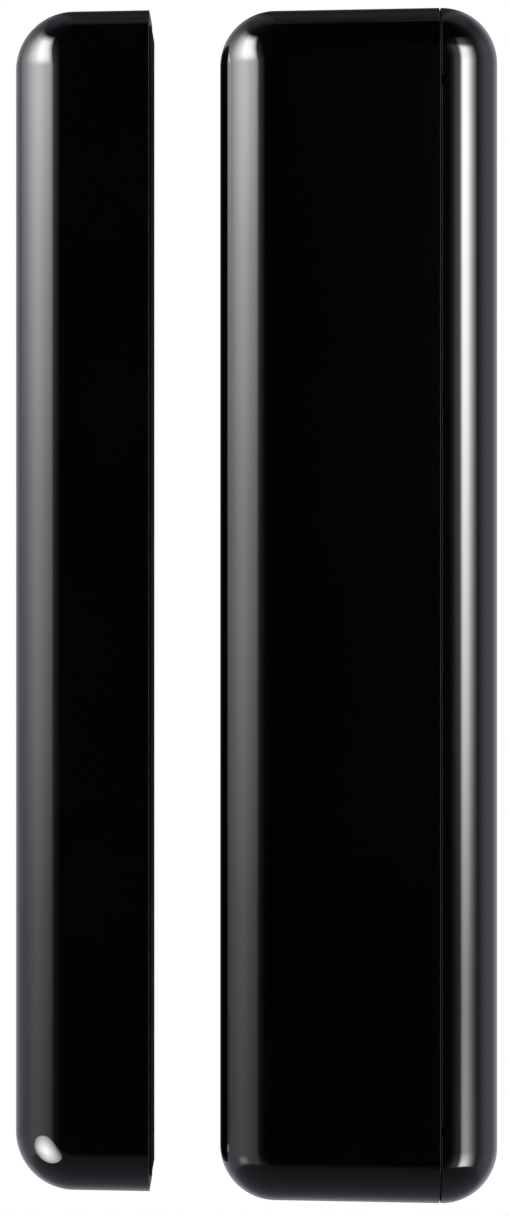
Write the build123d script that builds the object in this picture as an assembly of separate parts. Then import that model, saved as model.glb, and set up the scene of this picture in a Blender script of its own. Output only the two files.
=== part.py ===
from build123d import *
import os
from math import radians, tan

# Door contact sensor: a wireless sensor for the door frame and the magnet unit beside it on the door.
# Millimetres. +X runs from the magnet unit to the sensor, +Y into the wall, +Z up.
# The origin is on the wall face of the sensor's adhesive pad, on the sensor's two centre lines.

# ---- Sensor shell ----
SENSOR_WIDTH = 25.5
SENSOR_LENGTH = 110.0          # at the seam, where the housing is longest
SENSOR_DEPTH = 24.0
PAD_THICKNESS = 1.0
COVER_THICKNESS = 5.28         # from the middle of the seam to the cover's outer face
SEAM_GAP = 0.14
DRAFT_DEGREES = 1.05           # the end walls open towards the seam
WALL = 1.6
CORNER_RADIUS = 5.15           # corners seen from the front
FRONT_EDGE_RADIUS = 4.6
BACK_EDGE_RADIUS = 0.8
SMALLEST_INNER_RADIUS = 0.3

# ---- Magnet unit ----
MAGNET_UNIT_WIDTH = 12.65
MAGNET_UNIT_LENGTH = 110.0
MAGNET_UNIT_DEPTH = 18.2
UNIT_GAP = 6.4                # from the sensor's left wall to the magnet unit's plate
MAGNET_UNIT_RAISE = 0.45       # fitted this much higher than the sensor
PLATE_THICKNESS = 1.6
PLATE_PROUD = 0.22
PLATE_END_INSET = 1.5
PLATE_SIDE_INSET = 1.05
PLATE_CLEARANCE = 0.05
PLATE_CORNER_RADII = (2.95, 0.45)   # front and back corners
PLATE_EDGE_RADIUS = 0.15
MAGNET_CORNER_RADIUS = 5.5

# ---- Cover fastening ----
LIP_THICKNESS = 0.65
LIP_HEIGHT = 1.5
LIP_CLEARANCE = 0.15
LIP_ROOT = 0.1                 # how far the lip runs into the cover's rim
LATCH_HEIGHTS = (-48.0, 1.5, 48.0)
LATCH_WIDTH = 5.0
LATCH_THICKNESS = 1.0
LATCH_REACH = 5.0              # past the seam into the housing
LATCH_RIDGE_RADIUS = 0.35
LATCH_RIDGE_SETBACK = 1.0      # from the tongue's tip
LATCH_ROOT_SETBACK = 1.5       # from the cover's inner side wall
LATCH_BITE = 0.2               # how far a gusset sinks into what it joins
GROOVE_PLAY = (1.0, 0.1, 0.3)  # past the tongue: in length, in depth and at each side
OVERLAP = 0.2                  # how far a rib or boss sinks into its wall
PRY_NOTCH_SIZE = (0.45, 1.0, 0.9)

# ---- Circuit board ----
BOARD_THICKNESS = 1.6
BOARD_WIDTH = 19.2
BOARD_LENGTH = 104.4
BOARD_STANDOFF = 2.3           # above the inside of the housing's left wall
BOSS_RADIUS = 2.4
BOARD_REST_HEIGHTS = (-49.0, -30.0, 30.0)
BOARD_REST_SIZE = (12.0, 1.4)
BOARD_CORNER_RADIUS = 1.2
SCREW_SHANK_RADIUS = 0.98
SCREW_HOLE_RADIUS = 1.0
SCREW_HEAD_RADIUS = 1.9
SCREW_HEAD_HEIGHT = 1.3
SCREW_HEAD_ROUND = 0.6
SCREW_CROSS = (2.2, 0.5, 0.7)   # length, width and depth
SCREW_CLEARANCE_RADIUS = 1.15   # in the board
SCREW_GRIP = 3.1               # shank length below the board
SCREW_SPOTS = ((-13.0, -6.6), (-8.0, 48.0))     # Y and Z

# ---- Battery: a 17 mm by 34.5 mm lithium cell ----
CELL_RADIUS = 8.5
CELL_LENGTH = 34.5
CELL_NUB_RADIUS = 3.2
CELL_NUB_HEIGHT = 1.0
CELL_SLEEVE = 0.1
CELL_BOTTOM = -47.0
HOLDER_BOTTOM = -52.0
HOLDER_TOP = -10.5
HOLDER_END_WALL = 1.6
HOLDER_WIDTH = 18.4
CONTACT_THICKNESS = 0.4
CONTACT_FOOT_WIDTH = 4.0
CONTACT_REACH = (5.5, 3.8)      # towards the board and away from it, from the cell's axis
CONTACT_FOOT_REACH = 5.0
CONTACT_CORNER_RADIUS = 2.0
POSITIVE_CONTACT_WIDTH = 9.0
NEGATIVE_CONTACT_WIDTH = 11.0
CELL_ABOVE_BOARD = 9.2          # its axis
CELL_ROUND = 0.6
CELL_NUB_ROUND = 0.4
CELL_CLEARANCE = 0.3            # in the holder's channel
HOLDER_RAIL_DROP = 2.5          # below the cell's axis
HOLDER_END_RISE = 4.5           # above the cell's axis
HOLDER_END_WIDTH = 15.0
HOLDER_END_ROUND = 2.5
HOLDER_SLOT_PLAY = 2.0
BATTERY_SPRING_WIRE = 0.35
BATTERY_SPRING_BASE = 4.6
BATTERY_SPRING_TURNS = 2.5
BATTERY_SPRING_CONE = -48.0     # degrees
BATTERY_SPRING_PLAY = 0.02

# ---- Reed switch ----
REED_Y = -10.0
REED_Z = 15.0
REED_LIFT = 1.9                # glass axis above the board
REED_GLASS_RADIUS = 1.3
REED_GLASS_BORE = 0.95
REED_GLASS_LENGTH = 14.0
REED_SEAL = 1.3
REED_WIRE_RADIUS = 0.28
REED_LEAD_SPAN = 22.0          # between the two legs
REED_BLADE_WIDTH = 1.1
REED_BLADE_THICKNESS = 0.2
REED_BLADE_OVERLAP = 1.4
REED_CONTACT_GAP = 0.02
REED_GLASS_ROUND = 0.9
REED_BORE_ROUND = 0.6
REED_BEND_RADIUS = 1.0
REED_WIRE_INTO_SEAL = 0.3
REED_BLADE_INTO_SEAL = 0.15
REED_UPPER_STUB = 0.4           # from the seal to the moving blade's root
REED_ROOT_SETBACK = 0.5
REED_TIP_ROUND = 0.3

# ---- Aerial ----
AERIAL_Y = -17.5
AERIAL_FOOT_Z = 37.5
AERIAL_LIFT = 2.9              # coil axis above the board
AERIAL_COIL_RADIUS = 2.1
AERIAL_WIRE_RADIUS = 0.35
AERIAL_PITCH = 1.25
AERIAL_TURNS = 8
LEG_STUB = 0.7                 # how far a soldered leg shows behind the board
LEG_HOLE_PLAY = 0.1
AERIAL_KNEE = 1.12              # ball at the wire's bend, in wire radii

# ---- Tamper switch ----
TAMPER_Y = -8.0
TAMPER_Z = 38.0
TAMPER_BODY_SIZE = 6.4
TAMPER_BODY_HEIGHT = 4.2
TAMPER_STEM_RADIUS = 1.2
TAMPER_BORE_RADIUS = 1.25
TAMPER_HEAD_RADIUS = 2.1
TAMPER_HEAD_HEIGHT = 0.8
TAMPER_SPRING_ROOM = 1.8       # between body and head while the cover holds the plunger in
TAMPER_STEM_LENGTH = 4.2
TAMPER_POST_RADIUS = 1.6
TAMPER_POST_PLAY = 0.05
TAMPER_RIB_SIZE = (4.0, 8.0, 0.9)   # height, length and thickness of the post's ribs
TAMPER_CORNER_RADIUS = 0.5
TAMPER_HEAD_ROUND = 0.3
TAMPER_FLOOR_PLAY = 0.4
TAMPER_SPRING_WIRE = 0.15
TAMPER_SPRING_COIL = 1.6
TAMPER_SPRING_TURNS = 3.0
TAMPER_SPRING_PLAY = 0.03

# ---- Pairing switch ----
PAIRING_Y = -19.0
PAIRING_Z = -6.8
PAIRING_BODY_SIZE = 4.6
PAIRING_BODY_HEIGHT = 3.0
PAIRING_CAP_RADIUS = 1.3
PAIRING_CAP_HEIGHT = 1.1
PAIRING_TRAVEL = 0.25
PAIRING_CHAMFER = 0.4
PAIRING_FLOOR = 1.2             # above the board
PAIRING_SIDE_PLAY = 0.06
PAIRING_FOOT_PLAY = 0.15
PAIRING_CAP_ROUND = 0.25

# ---- Bar magnet ----
MAGNET_LENGTH = 40.0
MAGNET_DEPTH = 10.0
MAGNET_THICKNESS = 5.0
FOAM_THICKNESS = 2.0
FOAM_LENGTH = 34.0
FOAM_MARGIN = 1.0
MAGNET_PLAY = 0.3               # to the plate
MAGNET_EDGE = 0.3
MAGNET_RIB = 1.2
MAGNET_RIB_PLAY = 0.2
MAGNET_RIB_SETBACK = 6.0        # of the side ribs from the magnet's ends

# Adhesive pads
SENSOR_PAD_SIZE = (17.0, 100.0)
SENSOR_PAD_MARGIN = 1.6         # from the sensor's left wall
MAGNET_PAD_SIZE = (9.0, 98.0)
MAGNET_PAD_OFFSET = 6.0         # its middle, from the magnet unit's left wall
PAD_CORNER_RADIUS = 2.0

# Parts on the board: Y and Z, then sizes
MICROCONTROLLER = (-17.0, 8.0, 6.0, 1.1)        # Y, Z, size, height
MICROCONTROLLER_LEADS = (8, 0.65)               # on each side, and their pitch
RADIO_CHIP = (-17.0, 22.5, 5.0, 0.85)           # Y, Z, size, height
RADIO_CHIP_EDGE = 0.1
CRYSTAL = (-17.0, 16.2, 5.0, 3.2, 1.1)          # Y, Z, width, length, height
CRYSTAL_ROUNDS = (0.5, 0.2)
CAPACITOR = (-17.0, 32.0, 3.0, 6.4)             # Y, Z, can radius, height
CAPACITOR_FOOT = (6.4, 1.0, 1.0)                # size, height, cut corners
CAPACITOR_SHOULDER = 0.5
CAPACITOR_NECK = (2.0, 0.1, 0.35)               # height, how far outside the can, groove radius
CHIP_PART_SIZE = (1.6, 0.8, 0.55)
CHIP_PART_CAP = (0.35, 0.06)                    # both end caps together, and how much lower they are
UPRIGHT_CHIP_PARTS = ((-12.3, 5.0), (-12.3, 8.0), (-12.3, 11.0), (-12.6, 19.0), (-12.6, 22.0), (-12.6, 25.0))
LEVEL_CHIP_PARTS = (
    (-18.5, 0.6), (-15.5, 0.6), (-6.0, 0.2), (-5.6, 28.8), (-9.0, 30.4), (-18.0, 26.6), (-15.0, 26.6),
)
LED = (-6.0, -6.6)
LED_BASE = (1.4, 2.0, 0.4)
LED_LENS = (1.4, 1.3, 0.95)
LED_ROUND = 0.2

# ---- Derived places ----
RIGHT = SENSOR_WIDTH / 2
LEFT = -RIGHT
BACK = -PAD_THICKNESS
FRONT = BACK - SENSOR_DEPTH
SEAM_X = RIGHT - COVER_THICKNESS
HOUSING_RIM_X = SEAM_X - SEAM_GAP / 2
COVER_RIM_X = SEAM_X + SEAM_GAP / 2
MID_Y = (FRONT + BACK) / 2
INNER_LEFT = LEFT + WALL
INNER_RIGHT = RIGHT - WALL
INNER_FRONT = FRONT + WALL
INNER_BACK = BACK - WALL
PAST = 1.0                     # how far a cutting shape runs past what it cuts

BOARD_BACK_X = INNER_LEFT + BOARD_STANDOFF
BOARD_FACE_X = BOARD_BACK_X + BOARD_THICKNESS
CELL_X = BOARD_FACE_X + CELL_ABOVE_BOARD
CELL_Y = MID_Y
CELL_TOP = CELL_BOTTOM + CELL_LENGTH
REED_X = BOARD_FACE_X + REED_LIFT
TAMPER_BODY_TOP = BOARD_FACE_X + TAMPER_BODY_HEIGHT
TAMPER_HEAD_X = TAMPER_BODY_TOP + TAMPER_SPRING_ROOM

PLATE_X = LEFT - UNIT_GAP
MAGNET_RIM_X = PLATE_X - PLATE_PROUD
MAGNET_LEFT = PLATE_X - MAGNET_UNIT_WIDTH
MAGNET_FRONT = BACK - MAGNET_UNIT_DEPTH
MAGNET_FACE_X = PLATE_X - PLATE_THICKNESS - MAGNET_PLAY
MAGNET_X = (MAGNET_FACE_X - MAGNET_THICKNESS, MAGNET_FACE_X)
MAGNET_Y = (BACK + MAGNET_FRONT) / 2


# ---- Shape helpers ----

def block(x, y, z):
    """Box between the (low, high) pairs along X, Y and Z."""
    spans = (x, y, z)
    size = [high - low for low, high in spans]
    middle = [(low + high) / 2 for low, high in spans]
    return Pos(*middle) * Box(*size)


def around(centre, width):
    """The (low, high) pair of a span of this width."""
    return centre - width / 2, centre + width / 2


def rod_x(radius, x, y, z):
    """Round bar along X between the pair x, at y and z."""
    low, high = x
    return Pos((low + high) / 2, y, z) * Rot(0, 90, 0) * Cylinder(radius, high - low)


def rod_z(radius, x, y, z):
    """Round bar along Z between the pair z, at x and y."""
    low, high = z
    return Pos(x, y, (low + high) / 2) * Cylinder(radius, high - low)


def wire(path, radius):
    """Round wire along a path."""
    return sweep(Plane(origin=path @ 0, z_dir=path % 0) * Circle(radius), path=path, is_frenet=True)


def upright_block(outline, front, back):
    """Extrude an outline drawn in X and Z between two depths."""
    return extrude(Plane.XZ.offset(-back) * outline, amount=back - front)


def half_length(x, length=SENSOR_LENGTH, rim=SEAM_X):
    """Half the height of a housing at x: its end walls close in, away from the rim."""
    return length / 2 - tan(radians(DRAFT_DEGREES)) * (rim - x)


def tray_outline(left, rim, length, corner, inset=0.0, overrun=0.0):
    """Front outline of a tray that is open at the rim: two round corners on the left, drafted ends."""
    far_left = left + inset
    far_right = rim + overrun
    low = half_length(far_left, length, rim) - inset
    high = half_length(far_right, length, rim) - inset
    points = [(far_left, -low), (far_right, -high), (far_right, high), (far_left, low)]
    face = make_face(Polyline(*points, close=True))
    return fillet(face.vertices().sort_by(Axis.X)[:2], corner - inset)


def edges_off(face, x):
    """A face's edges, leaving out the straight one that lies in the plane at x."""
    return [e for e in face.edges() if abs(e.center().X - x) > 1e-3]


def round_front_and_back(solid, open_x, front_radius, back_radius):
    """Round the long edges at the front and at the back, but not the edges at the rim."""
    front_face = solid.faces().sort_by(Axis.Y)[0]
    solid = fillet(edges_off(front_face, open_x), front_radius)
    back_face = solid.faces().sort_by(Axis.Y)[-1]
    return fillet(edges_off(back_face, open_x), back_radius)


def tray_solid(left, rim, length, depths, corner, edges, inset=0.0, overrun=0.0):
    """Solid block of a tray's outside, or of its hollow when inset is the wall."""
    front, back = depths
    outline = tray_outline(left, rim, length, corner, inset, overrun)
    solid = upright_block(outline, front + inset, back - inset)
    front_edge, back_edge = edges
    back_radius = max(back_edge - inset, SMALLEST_INNER_RADIUS)
    return round_front_and_back(solid, rim + overrun, front_edge - inset, back_radius)


def rim_section(inset, x, thickness):
    """Slice of the sensor's cross-section at the seam, shrunk by inset, from x along +X."""
    half = SENSOR_LENGTH / 2 - inset
    outline = Rectangle(BACK - FRONT - 2 * inset, 2 * half)
    front_corners = outline.vertices().sort_by(Axis.X)[:2]
    outline = fillet(front_corners, FRONT_EDGE_RADIUS - inset)
    back_corners = outline.vertices().sort_by(Axis.X)[-2:]
    outline = fillet(back_corners, max(BACK_EDGE_RADIUS - inset, SMALLEST_INNER_RADIUS))
    return extrude(Plane(origin=(x, MID_Y, 0), x_dir=(0, 1, 0), z_dir=(1, 0, 0)) * outline, amount=thickness)


def cover_solid(inset=0.0, overrun=0.0):
    """Solid block of the side cover: flat at the seam, round at its two far corners."""
    rim = COVER_RIM_X - overrun
    right = RIGHT - inset
    corner = CORNER_RADIUS - inset
    half = SENSOR_LENGTH / 2 - inset
    arc_x = right - corner
    arc_z = half - corner
    outline = make_face(
        Line((rim, -half), (arc_x, -half))
        + TangentArc((arc_x, -half), (right, -arc_z), tangent=(1, 0))
        + Line((right, -arc_z), (right, arc_z))
        + TangentArc((right, arc_z), (arc_x, half), tangent=(0, 1))
        + Line((arc_x, half), (rim, half))
        + Line((rim, half), (rim, -half))
    )
    solid = upright_block(outline, FRONT + inset, BACK - inset)
    back_radius = max(BACK_EDGE_RADIUS - inset, SMALLEST_INNER_RADIUS)
    return round_front_and_back(solid, rim, FRONT_EDGE_RADIUS - inset, back_radius)


# ---- Sensor shell ----

def latch_spans():
    """The Y spans and outward directions of the latches on the front and the back wall."""
    front = INNER_FRONT + LIP_CLEARANCE
    back = INNER_BACK - LIP_CLEARANCE
    return (((front, front + LATCH_THICKNESS), -1), ((back - LATCH_THICKNESS, back), 1))


def sensor_housing():
    """The deep tray: outer shell, rebate for the cover's lip, latch grooves, bosses and board rests."""
    depths = (FRONT, BACK)
    edges = (FRONT_EDGE_RADIUS, BACK_EDGE_RADIUS)
    outside = tray_solid(LEFT, HOUSING_RIM_X, SENSOR_LENGTH, depths, CORNER_RADIUS, edges)
    hollow = tray_solid(LEFT, HOUSING_RIM_X, SENSOR_LENGTH, depths, CORNER_RADIUS, edges, WALL, PAST)
    shell = outside - hollow
    rebate_inset = WALL - LIP_THICKNESS - LIP_CLEARANCE
    rebate_depth = LIP_HEIGHT + LIP_CLEARANCE
    shell -= rim_section(rebate_inset, HOUSING_RIM_X - rebate_depth, rebate_depth + PAST)
    end_play, ridge_play, side_play = GROOVE_PLAY
    groove_x = (HOUSING_RIM_X - LATCH_REACH - end_play, HOUSING_RIM_X + PAST)
    groove_depth = LATCH_RIDGE_RADIUS + ridge_play
    for z in LATCH_HEIGHTS:
        z_span = around(z, LATCH_WIDTH + 2 * side_play)
        shell -= block(groove_x, (INNER_FRONT - groove_depth, INNER_FRONT + PAST), z_span)
        shell -= block(groove_x, (INNER_BACK - PAST, INNER_BACK + groove_depth), z_span)
    support_x = (INNER_LEFT - OVERLAP, BOARD_BACK_X)
    for y, z in SCREW_SPOTS:
        shell += rod_x(BOSS_RADIUS, support_x, y, z)
    rest_width, rest_thickness = BOARD_REST_SIZE
    for z in BOARD_REST_HEIGHTS:
        shell += block(support_x, around(MID_Y, rest_width), around(z, rest_thickness))
    pilot = (BOARD_BACK_X - SCREW_GRIP - OVERLAP, BOARD_BACK_X + PAST)
    for y, z in SCREW_SPOTS:
        shell -= rod_x(SCREW_HOLE_RADIUS, pilot, y, z)
    return shell


def cover_latches():
    """Six tongues with shallow ridges, each joined to the cover's front or back wall by a gusset."""
    tip_x = COVER_RIM_X - LATCH_REACH
    root_x = INNER_RIGHT - LATCH_ROOT_SETBACK
    gusset_x = (COVER_RIM_X - LIP_HEIGHT + LIP_ROOT, root_x)
    ridge_x = tip_x + LATCH_RIDGE_SETBACK
    ridge_length = LATCH_WIDTH - LATCH_RIDGE_SETBACK
    latches = []
    for z in LATCH_HEIGHTS:
        z_span = around(z, LATCH_WIDTH)
        for (low, high), side in latch_spans():
            outer_y = low if side < 0 else high
            gusset_y = sorted((outer_y + side * (LIP_CLEARANCE + LATCH_BITE), outer_y - side * LATCH_BITE))
            latches.append(block((tip_x, root_x), (low, high), z_span))
            latches.append(block(gusset_x, gusset_y, z_span))
            latches.append(rod_z(LATCH_RIDGE_RADIUS, ridge_x, outer_y, around(z, ridge_length)))
    return latches


def tamper_post():
    """Post that holds the tamper plunger in, with a cross of ribs at its root."""
    root_x = INNER_RIGHT + OVERLAP
    post_tip = TAMPER_HEAD_X + TAMPER_HEAD_HEIGHT + TAMPER_POST_PLAY
    rib_height, rib_length, rib_thickness = TAMPER_RIB_SIZE
    rib_x = (INNER_RIGHT - rib_height, root_x)
    post = rod_x(TAMPER_POST_RADIUS, (post_tip, root_x), TAMPER_Y, TAMPER_Z)
    for width, length in ((rib_thickness, rib_length), (rib_length, rib_thickness)):
        post += block(rib_x, around(TAMPER_Y, width), around(TAMPER_Z, length))
    return post


def side_cover():
    """The shallow cover: locating lip, latch tongues, the tamper post and two pry notches."""
    lip_x = COVER_RIM_X - LIP_HEIGHT
    shell = cover_solid() + rim_section(WALL - LIP_THICKNESS, lip_x, LIP_HEIGHT + LIP_ROOT)
    shell -= cover_solid(WALL, LIP_HEIGHT + PAST)
    shell += [tamper_post(), *cover_latches()]
    notch_x, notch_y, notch_z = PRY_NOTCH_SIZE
    notch_span = (COVER_RIM_X - PAST, COVER_RIM_X + notch_x)
    for z in (LATCH_HEIGHTS[0], LATCH_HEIGHTS[-1]):
        shell -= block(notch_span, (FRONT - PAST, FRONT + notch_y), around(z, notch_z))
    return shell


def sensor_adhesive_pad():
    """Foam tape on the housing's back, clear of the cover so that the cover can come off."""
    width, length = SENSOR_PAD_SIZE
    outline = RectangleRounded(width, length, PAD_CORNER_RADIUS)
    centre_x = LEFT + SENSOR_PAD_MARGIN + width / 2
    return Pos(centre_x, 0, 0) * upright_block(outline, BACK, 0.0)


# ---- Board and its soldered parts ----

def on_board(y, z, width, length, height, lift=0.0):
    """Box standing on the board's face, centred at y and z."""
    x = (BOARD_FACE_X + lift, BOARD_FACE_X + lift + height)
    return block(x, around(y, width), around(z, length))


def reed_leg_heights():
    """Z of the two bent legs of the reed switch."""
    return around(REED_Z, REED_LEAD_SPAN)


def circuit_board():
    """Glass-fibre board with holes for the screws, the reed's legs and the aerial."""
    outline = RectangleRounded(BOARD_WIDTH, BOARD_LENGTH, BOARD_CORNER_RADIUS)
    plane = Plane(origin=(BOARD_BACK_X, MID_Y, 0), x_dir=(0, 1, 0), z_dir=(1, 0, 0))
    board = extrude(plane * outline, amount=BOARD_THICKNESS)
    through = (BOARD_BACK_X - PAST, BOARD_FACE_X + PAST)
    for y, z in SCREW_SPOTS:
        board -= rod_x(SCREW_CLEARANCE_RADIUS, through, y, z)
    for z in reed_leg_heights():
        board -= rod_x(REED_WIRE_RADIUS + LEG_HOLE_PLAY, through, REED_Y, z)
    board -= rod_x(AERIAL_WIRE_RADIUS + LEG_HOLE_PLAY, through, AERIAL_Y, AERIAL_FOOT_Z)
    return board


def board_screws():
    """Two pan-head screws with cross recesses."""
    screws = []
    cross_length, cross_width, cross_depth = SCREW_CROSS
    for y, z in SCREW_SPOTS:
        head_x = (BOARD_FACE_X, BOARD_FACE_X + SCREW_HEAD_HEIGHT)
        head = rod_x(SCREW_HEAD_RADIUS, head_x, y, z)
        head = fillet(head.faces().sort_by(Axis.X)[-1].edges(), SCREW_HEAD_ROUND)
        shank = rod_x(SCREW_SHANK_RADIUS, (BOARD_BACK_X - SCREW_GRIP, BOARD_FACE_X), y, z)
        screw = head + shank
        recess_x = (head_x[1] - cross_depth, head_x[1] + PAST)
        for width, length in ((cross_width, cross_length), (cross_length, cross_width)):
            screw -= block(recess_x, around(y, width), around(z, length))
        screws.append(screw)
    return Compound(children=screws)


def flat_pack(y, z, size, height, leads_per_side, pitch):
    """Square chip with gull-wing leads on all four sides."""
    lead_width, lead_thickness, reach = 0.28, 0.16, 0.9
    standoff, body_chamfer = 0.12, 0.18
    root, bend_in, bend_out = -0.3, 0.25, 0.4      # places along a lead, from the body's side
    body = on_board(y, z, size, size, height, standoff)
    body = chamfer(body.faces().sort_by(Axis.X)[-1].edges(), body_chamfer)
    middle_x = BOARD_FACE_X + height / 2
    for side in (-1, 1):
        edge = size / 2
        for i in range(leads_per_side):
            along = (i - (leads_per_side - 1) / 2) * pitch
            shoulder = sorted((side * (edge + root), side * (edge + bend_out)))
            drop = sorted((side * (edge + bend_in), side * (edge + bend_out)))
            foot = sorted((side * (edge + bend_in), side * (edge + reach)))
            top_x = (middle_x - lead_thickness, middle_x)
            drop_x = (BOARD_FACE_X, middle_x)
            foot_x = (BOARD_FACE_X, BOARD_FACE_X + lead_thickness)
            for x, (low, high) in ((top_x, shoulder), (drop_x, drop), (foot_x, foot)):
                body += block(x, (y + low, y + high), around(z + along, lead_width))
                body += block(x, around(y + along, lead_width), (z + low, z + high))
    return body


def microcontroller():
    """The main chip."""
    return flat_pack(*MICROCONTROLLER, *MICROCONTROLLER_LEADS)


def radio_chip():
    """Leadless radio transmitter chip."""
    y, z, size, height = RADIO_CHIP
    chip = on_board(y, z, size, size, height)
    return chamfer(chip.faces().sort_by(Axis.X)[-1].edges(), RADIO_CHIP_EDGE)


def crystal():
    """Crystal in a seam-welded metal can."""
    corner_radius, top_radius = CRYSTAL_ROUNDS
    can = on_board(*CRYSTAL)
    can = fillet(can.edges().filter_by(Axis.X), corner_radius)
    return fillet(can.faces().sort_by(Axis.X)[-1].edges(), top_radius)


def bulk_capacitor():
    """Aluminium can capacitor on its square foot."""
    y, z, radius, height = CAPACITOR
    foot_size, foot_height, cut = CAPACITOR_FOOT
    neck_height, neck_offset, neck_radius = CAPACITOR_NECK
    foot = on_board(y, z, foot_size, foot_size, foot_height)
    foot = chamfer(foot.edges().filter_by(Axis.X).sort_by(Axis.Z)[-2:], cut)
    can = rod_x(radius, (BOARD_FACE_X + foot_height - OVERLAP, BOARD_FACE_X + height), y, z)
    can = fillet(can.faces().sort_by(Axis.X)[-1].edges(), CAPACITOR_SHOULDER)
    neck = Pos(BOARD_FACE_X + neck_height, y, z) * Rot(0, 90, 0) * Torus(radius + neck_offset, neck_radius)
    return foot + (can - neck)


def chip_parts():
    """Small surface-mounted capacitors and resistors."""
    length, width, height = CHIP_PART_SIZE
    cap, step = CHIP_PART_CAP
    parts = []
    for y, z in UPRIGHT_CHIP_PARTS:
        body = on_board(y, z, width, length - cap, height)
        parts.append(body + on_board(y, z, width, length, height - step))
    for y, z in LEVEL_CHIP_PARTS:
        body = on_board(y, z, length - cap, width, height)
        parts.append(body + on_board(y, z, length, width, height - step))
    return Compound(children=parts)


def status_led():
    """Indicator light: a flat base with a small lens."""
    base = on_board(*LED, *LED_BASE)
    lens = on_board(*LED, *LED_LENS)
    return base + fillet(lens.faces().sort_by(Axis.X)[-1].edges(), LED_ROUND)


def aerial():
    """Coiled wire aerial with one leg through the board."""
    axis_x = BOARD_FACE_X + AERIAL_LIFT
    place = Pos(axis_x, AERIAL_Y, AERIAL_FOOT_Z) * Rot(0, 0, 180)
    path = place * Helix(AERIAL_PITCH, AERIAL_PITCH * AERIAL_TURNS, AERIAL_COIL_RADIUS)
    corner_x = axis_x - AERIAL_COIL_RADIUS
    leg = rod_x(AERIAL_WIRE_RADIUS, (BOARD_BACK_X - LEG_STUB, corner_x), AERIAL_Y, AERIAL_FOOT_Z)
    knee = Pos(corner_x, AERIAL_Y, AERIAL_FOOT_Z) * Sphere(AERIAL_KNEE * AERIAL_WIRE_RADIUS)
    return wire(path, AERIAL_WIRE_RADIUS) + (leg + knee)


# ---- Reed switch ----

def reed_glass():
    """Sealed glass tube, closed round the two leads."""
    low, high = around(REED_Z, REED_GLASS_LENGTH)
    tube = rod_z(REED_GLASS_RADIUS, REED_X, REED_Y, (low, high))
    tube = fillet(tube.edges().filter_by(GeomType.CIRCLE), REED_GLASS_ROUND)
    hollow = rod_z(REED_GLASS_BORE, REED_X, REED_Y, (low + REED_SEAL, high - REED_SEAL))
    hollow = fillet(hollow.edges().filter_by(GeomType.CIRCLE), REED_BORE_ROUND)
    tube -= hollow
    return tube - rod_z(REED_WIRE_RADIUS, REED_X, REED_Y, (low - PAST, high + PAST))


def reed_lead(side, blade_z):
    """Wire leg, bend and seal passage on one side (-1 below, 1 above), then a flat blade up to blade_z."""
    leg_z = REED_Z + side * REED_LEAD_SPAN / 2
    seal_z = REED_Z + side * (REED_GLASS_LENGTH / 2 - REED_SEAL)
    path = FilletPolyline(
        (BOARD_BACK_X - LEG_STUB, REED_Y, leg_z),
        (REED_X, REED_Y, leg_z),
        (REED_X, REED_Y, seal_z - side * REED_WIRE_INTO_SEAL),
        radius=REED_BEND_RADIUS,
    )
    lead = wire(path, REED_WIRE_RADIUS)
    blade_x = REED_X + side * (REED_CONTACT_GAP + REED_BLADE_THICKNESS) / 2
    blade_z_span = sorted((seal_z - side * REED_BLADE_INTO_SEAL, blade_z))
    blade = block(around(blade_x, REED_BLADE_THICKNESS), around(REED_Y, REED_BLADE_WIDTH), blade_z_span)
    return lead + blade


def reed_fixed_blade():
    """Lower lead with its fixed contact blade."""
    return reed_lead(-1, REED_Z + REED_BLADE_OVERLAP / 2)


def reed_upper_lead():
    """Upper lead, as far as the root of the moving blade."""
    return reed_lead(1, REED_Z + REED_GLASS_LENGTH / 2 - REED_SEAL - REED_UPPER_STUB)


def reed_moving_blade():
    """The springy contact blade, which closes on the fixed one beside the magnet."""
    root_z = REED_Z + REED_GLASS_LENGTH / 2 - REED_SEAL - REED_ROOT_SETBACK
    blade_x = REED_X + (REED_CONTACT_GAP + REED_BLADE_THICKNESS) / 2
    z = (REED_Z - REED_BLADE_OVERLAP / 2, root_z)
    blade = block(around(blade_x, REED_BLADE_THICKNESS), around(REED_Y, REED_BLADE_WIDTH), z)
    return fillet(blade.edges().filter_by(Axis.X), REED_TIP_ROUND)


# ---- Tamper switch ----

def tamper_switch_body():
    """Moulded switch body with the plunger's bore."""
    body = on_board(TAMPER_Y, TAMPER_Z, TAMPER_BODY_SIZE, TAMPER_BODY_SIZE, TAMPER_BODY_HEIGHT)
    body = fillet(body.edges().filter_by(Axis.X), TAMPER_CORNER_RADIUS)
    floor_x = TAMPER_HEAD_X - TAMPER_STEM_LENGTH - TAMPER_FLOOR_PLAY
    return body - rod_x(TAMPER_BORE_RADIUS, (floor_x, TAMPER_BODY_TOP + PAST), TAMPER_Y, TAMPER_Z)


def tamper_plunger():
    """Stem and round head that the cover's post holds in."""
    stem = rod_x(TAMPER_STEM_RADIUS, (TAMPER_HEAD_X - TAMPER_STEM_LENGTH, TAMPER_HEAD_X), TAMPER_Y, TAMPER_Z)
    head = rod_x(TAMPER_HEAD_RADIUS, (TAMPER_HEAD_X, TAMPER_HEAD_X + TAMPER_HEAD_HEIGHT), TAMPER_Y, TAMPER_Z)
    head = fillet(head.faces().sort_by(Axis.X)[-1].edges(), TAMPER_HEAD_ROUND)
    return stem + head


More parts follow.
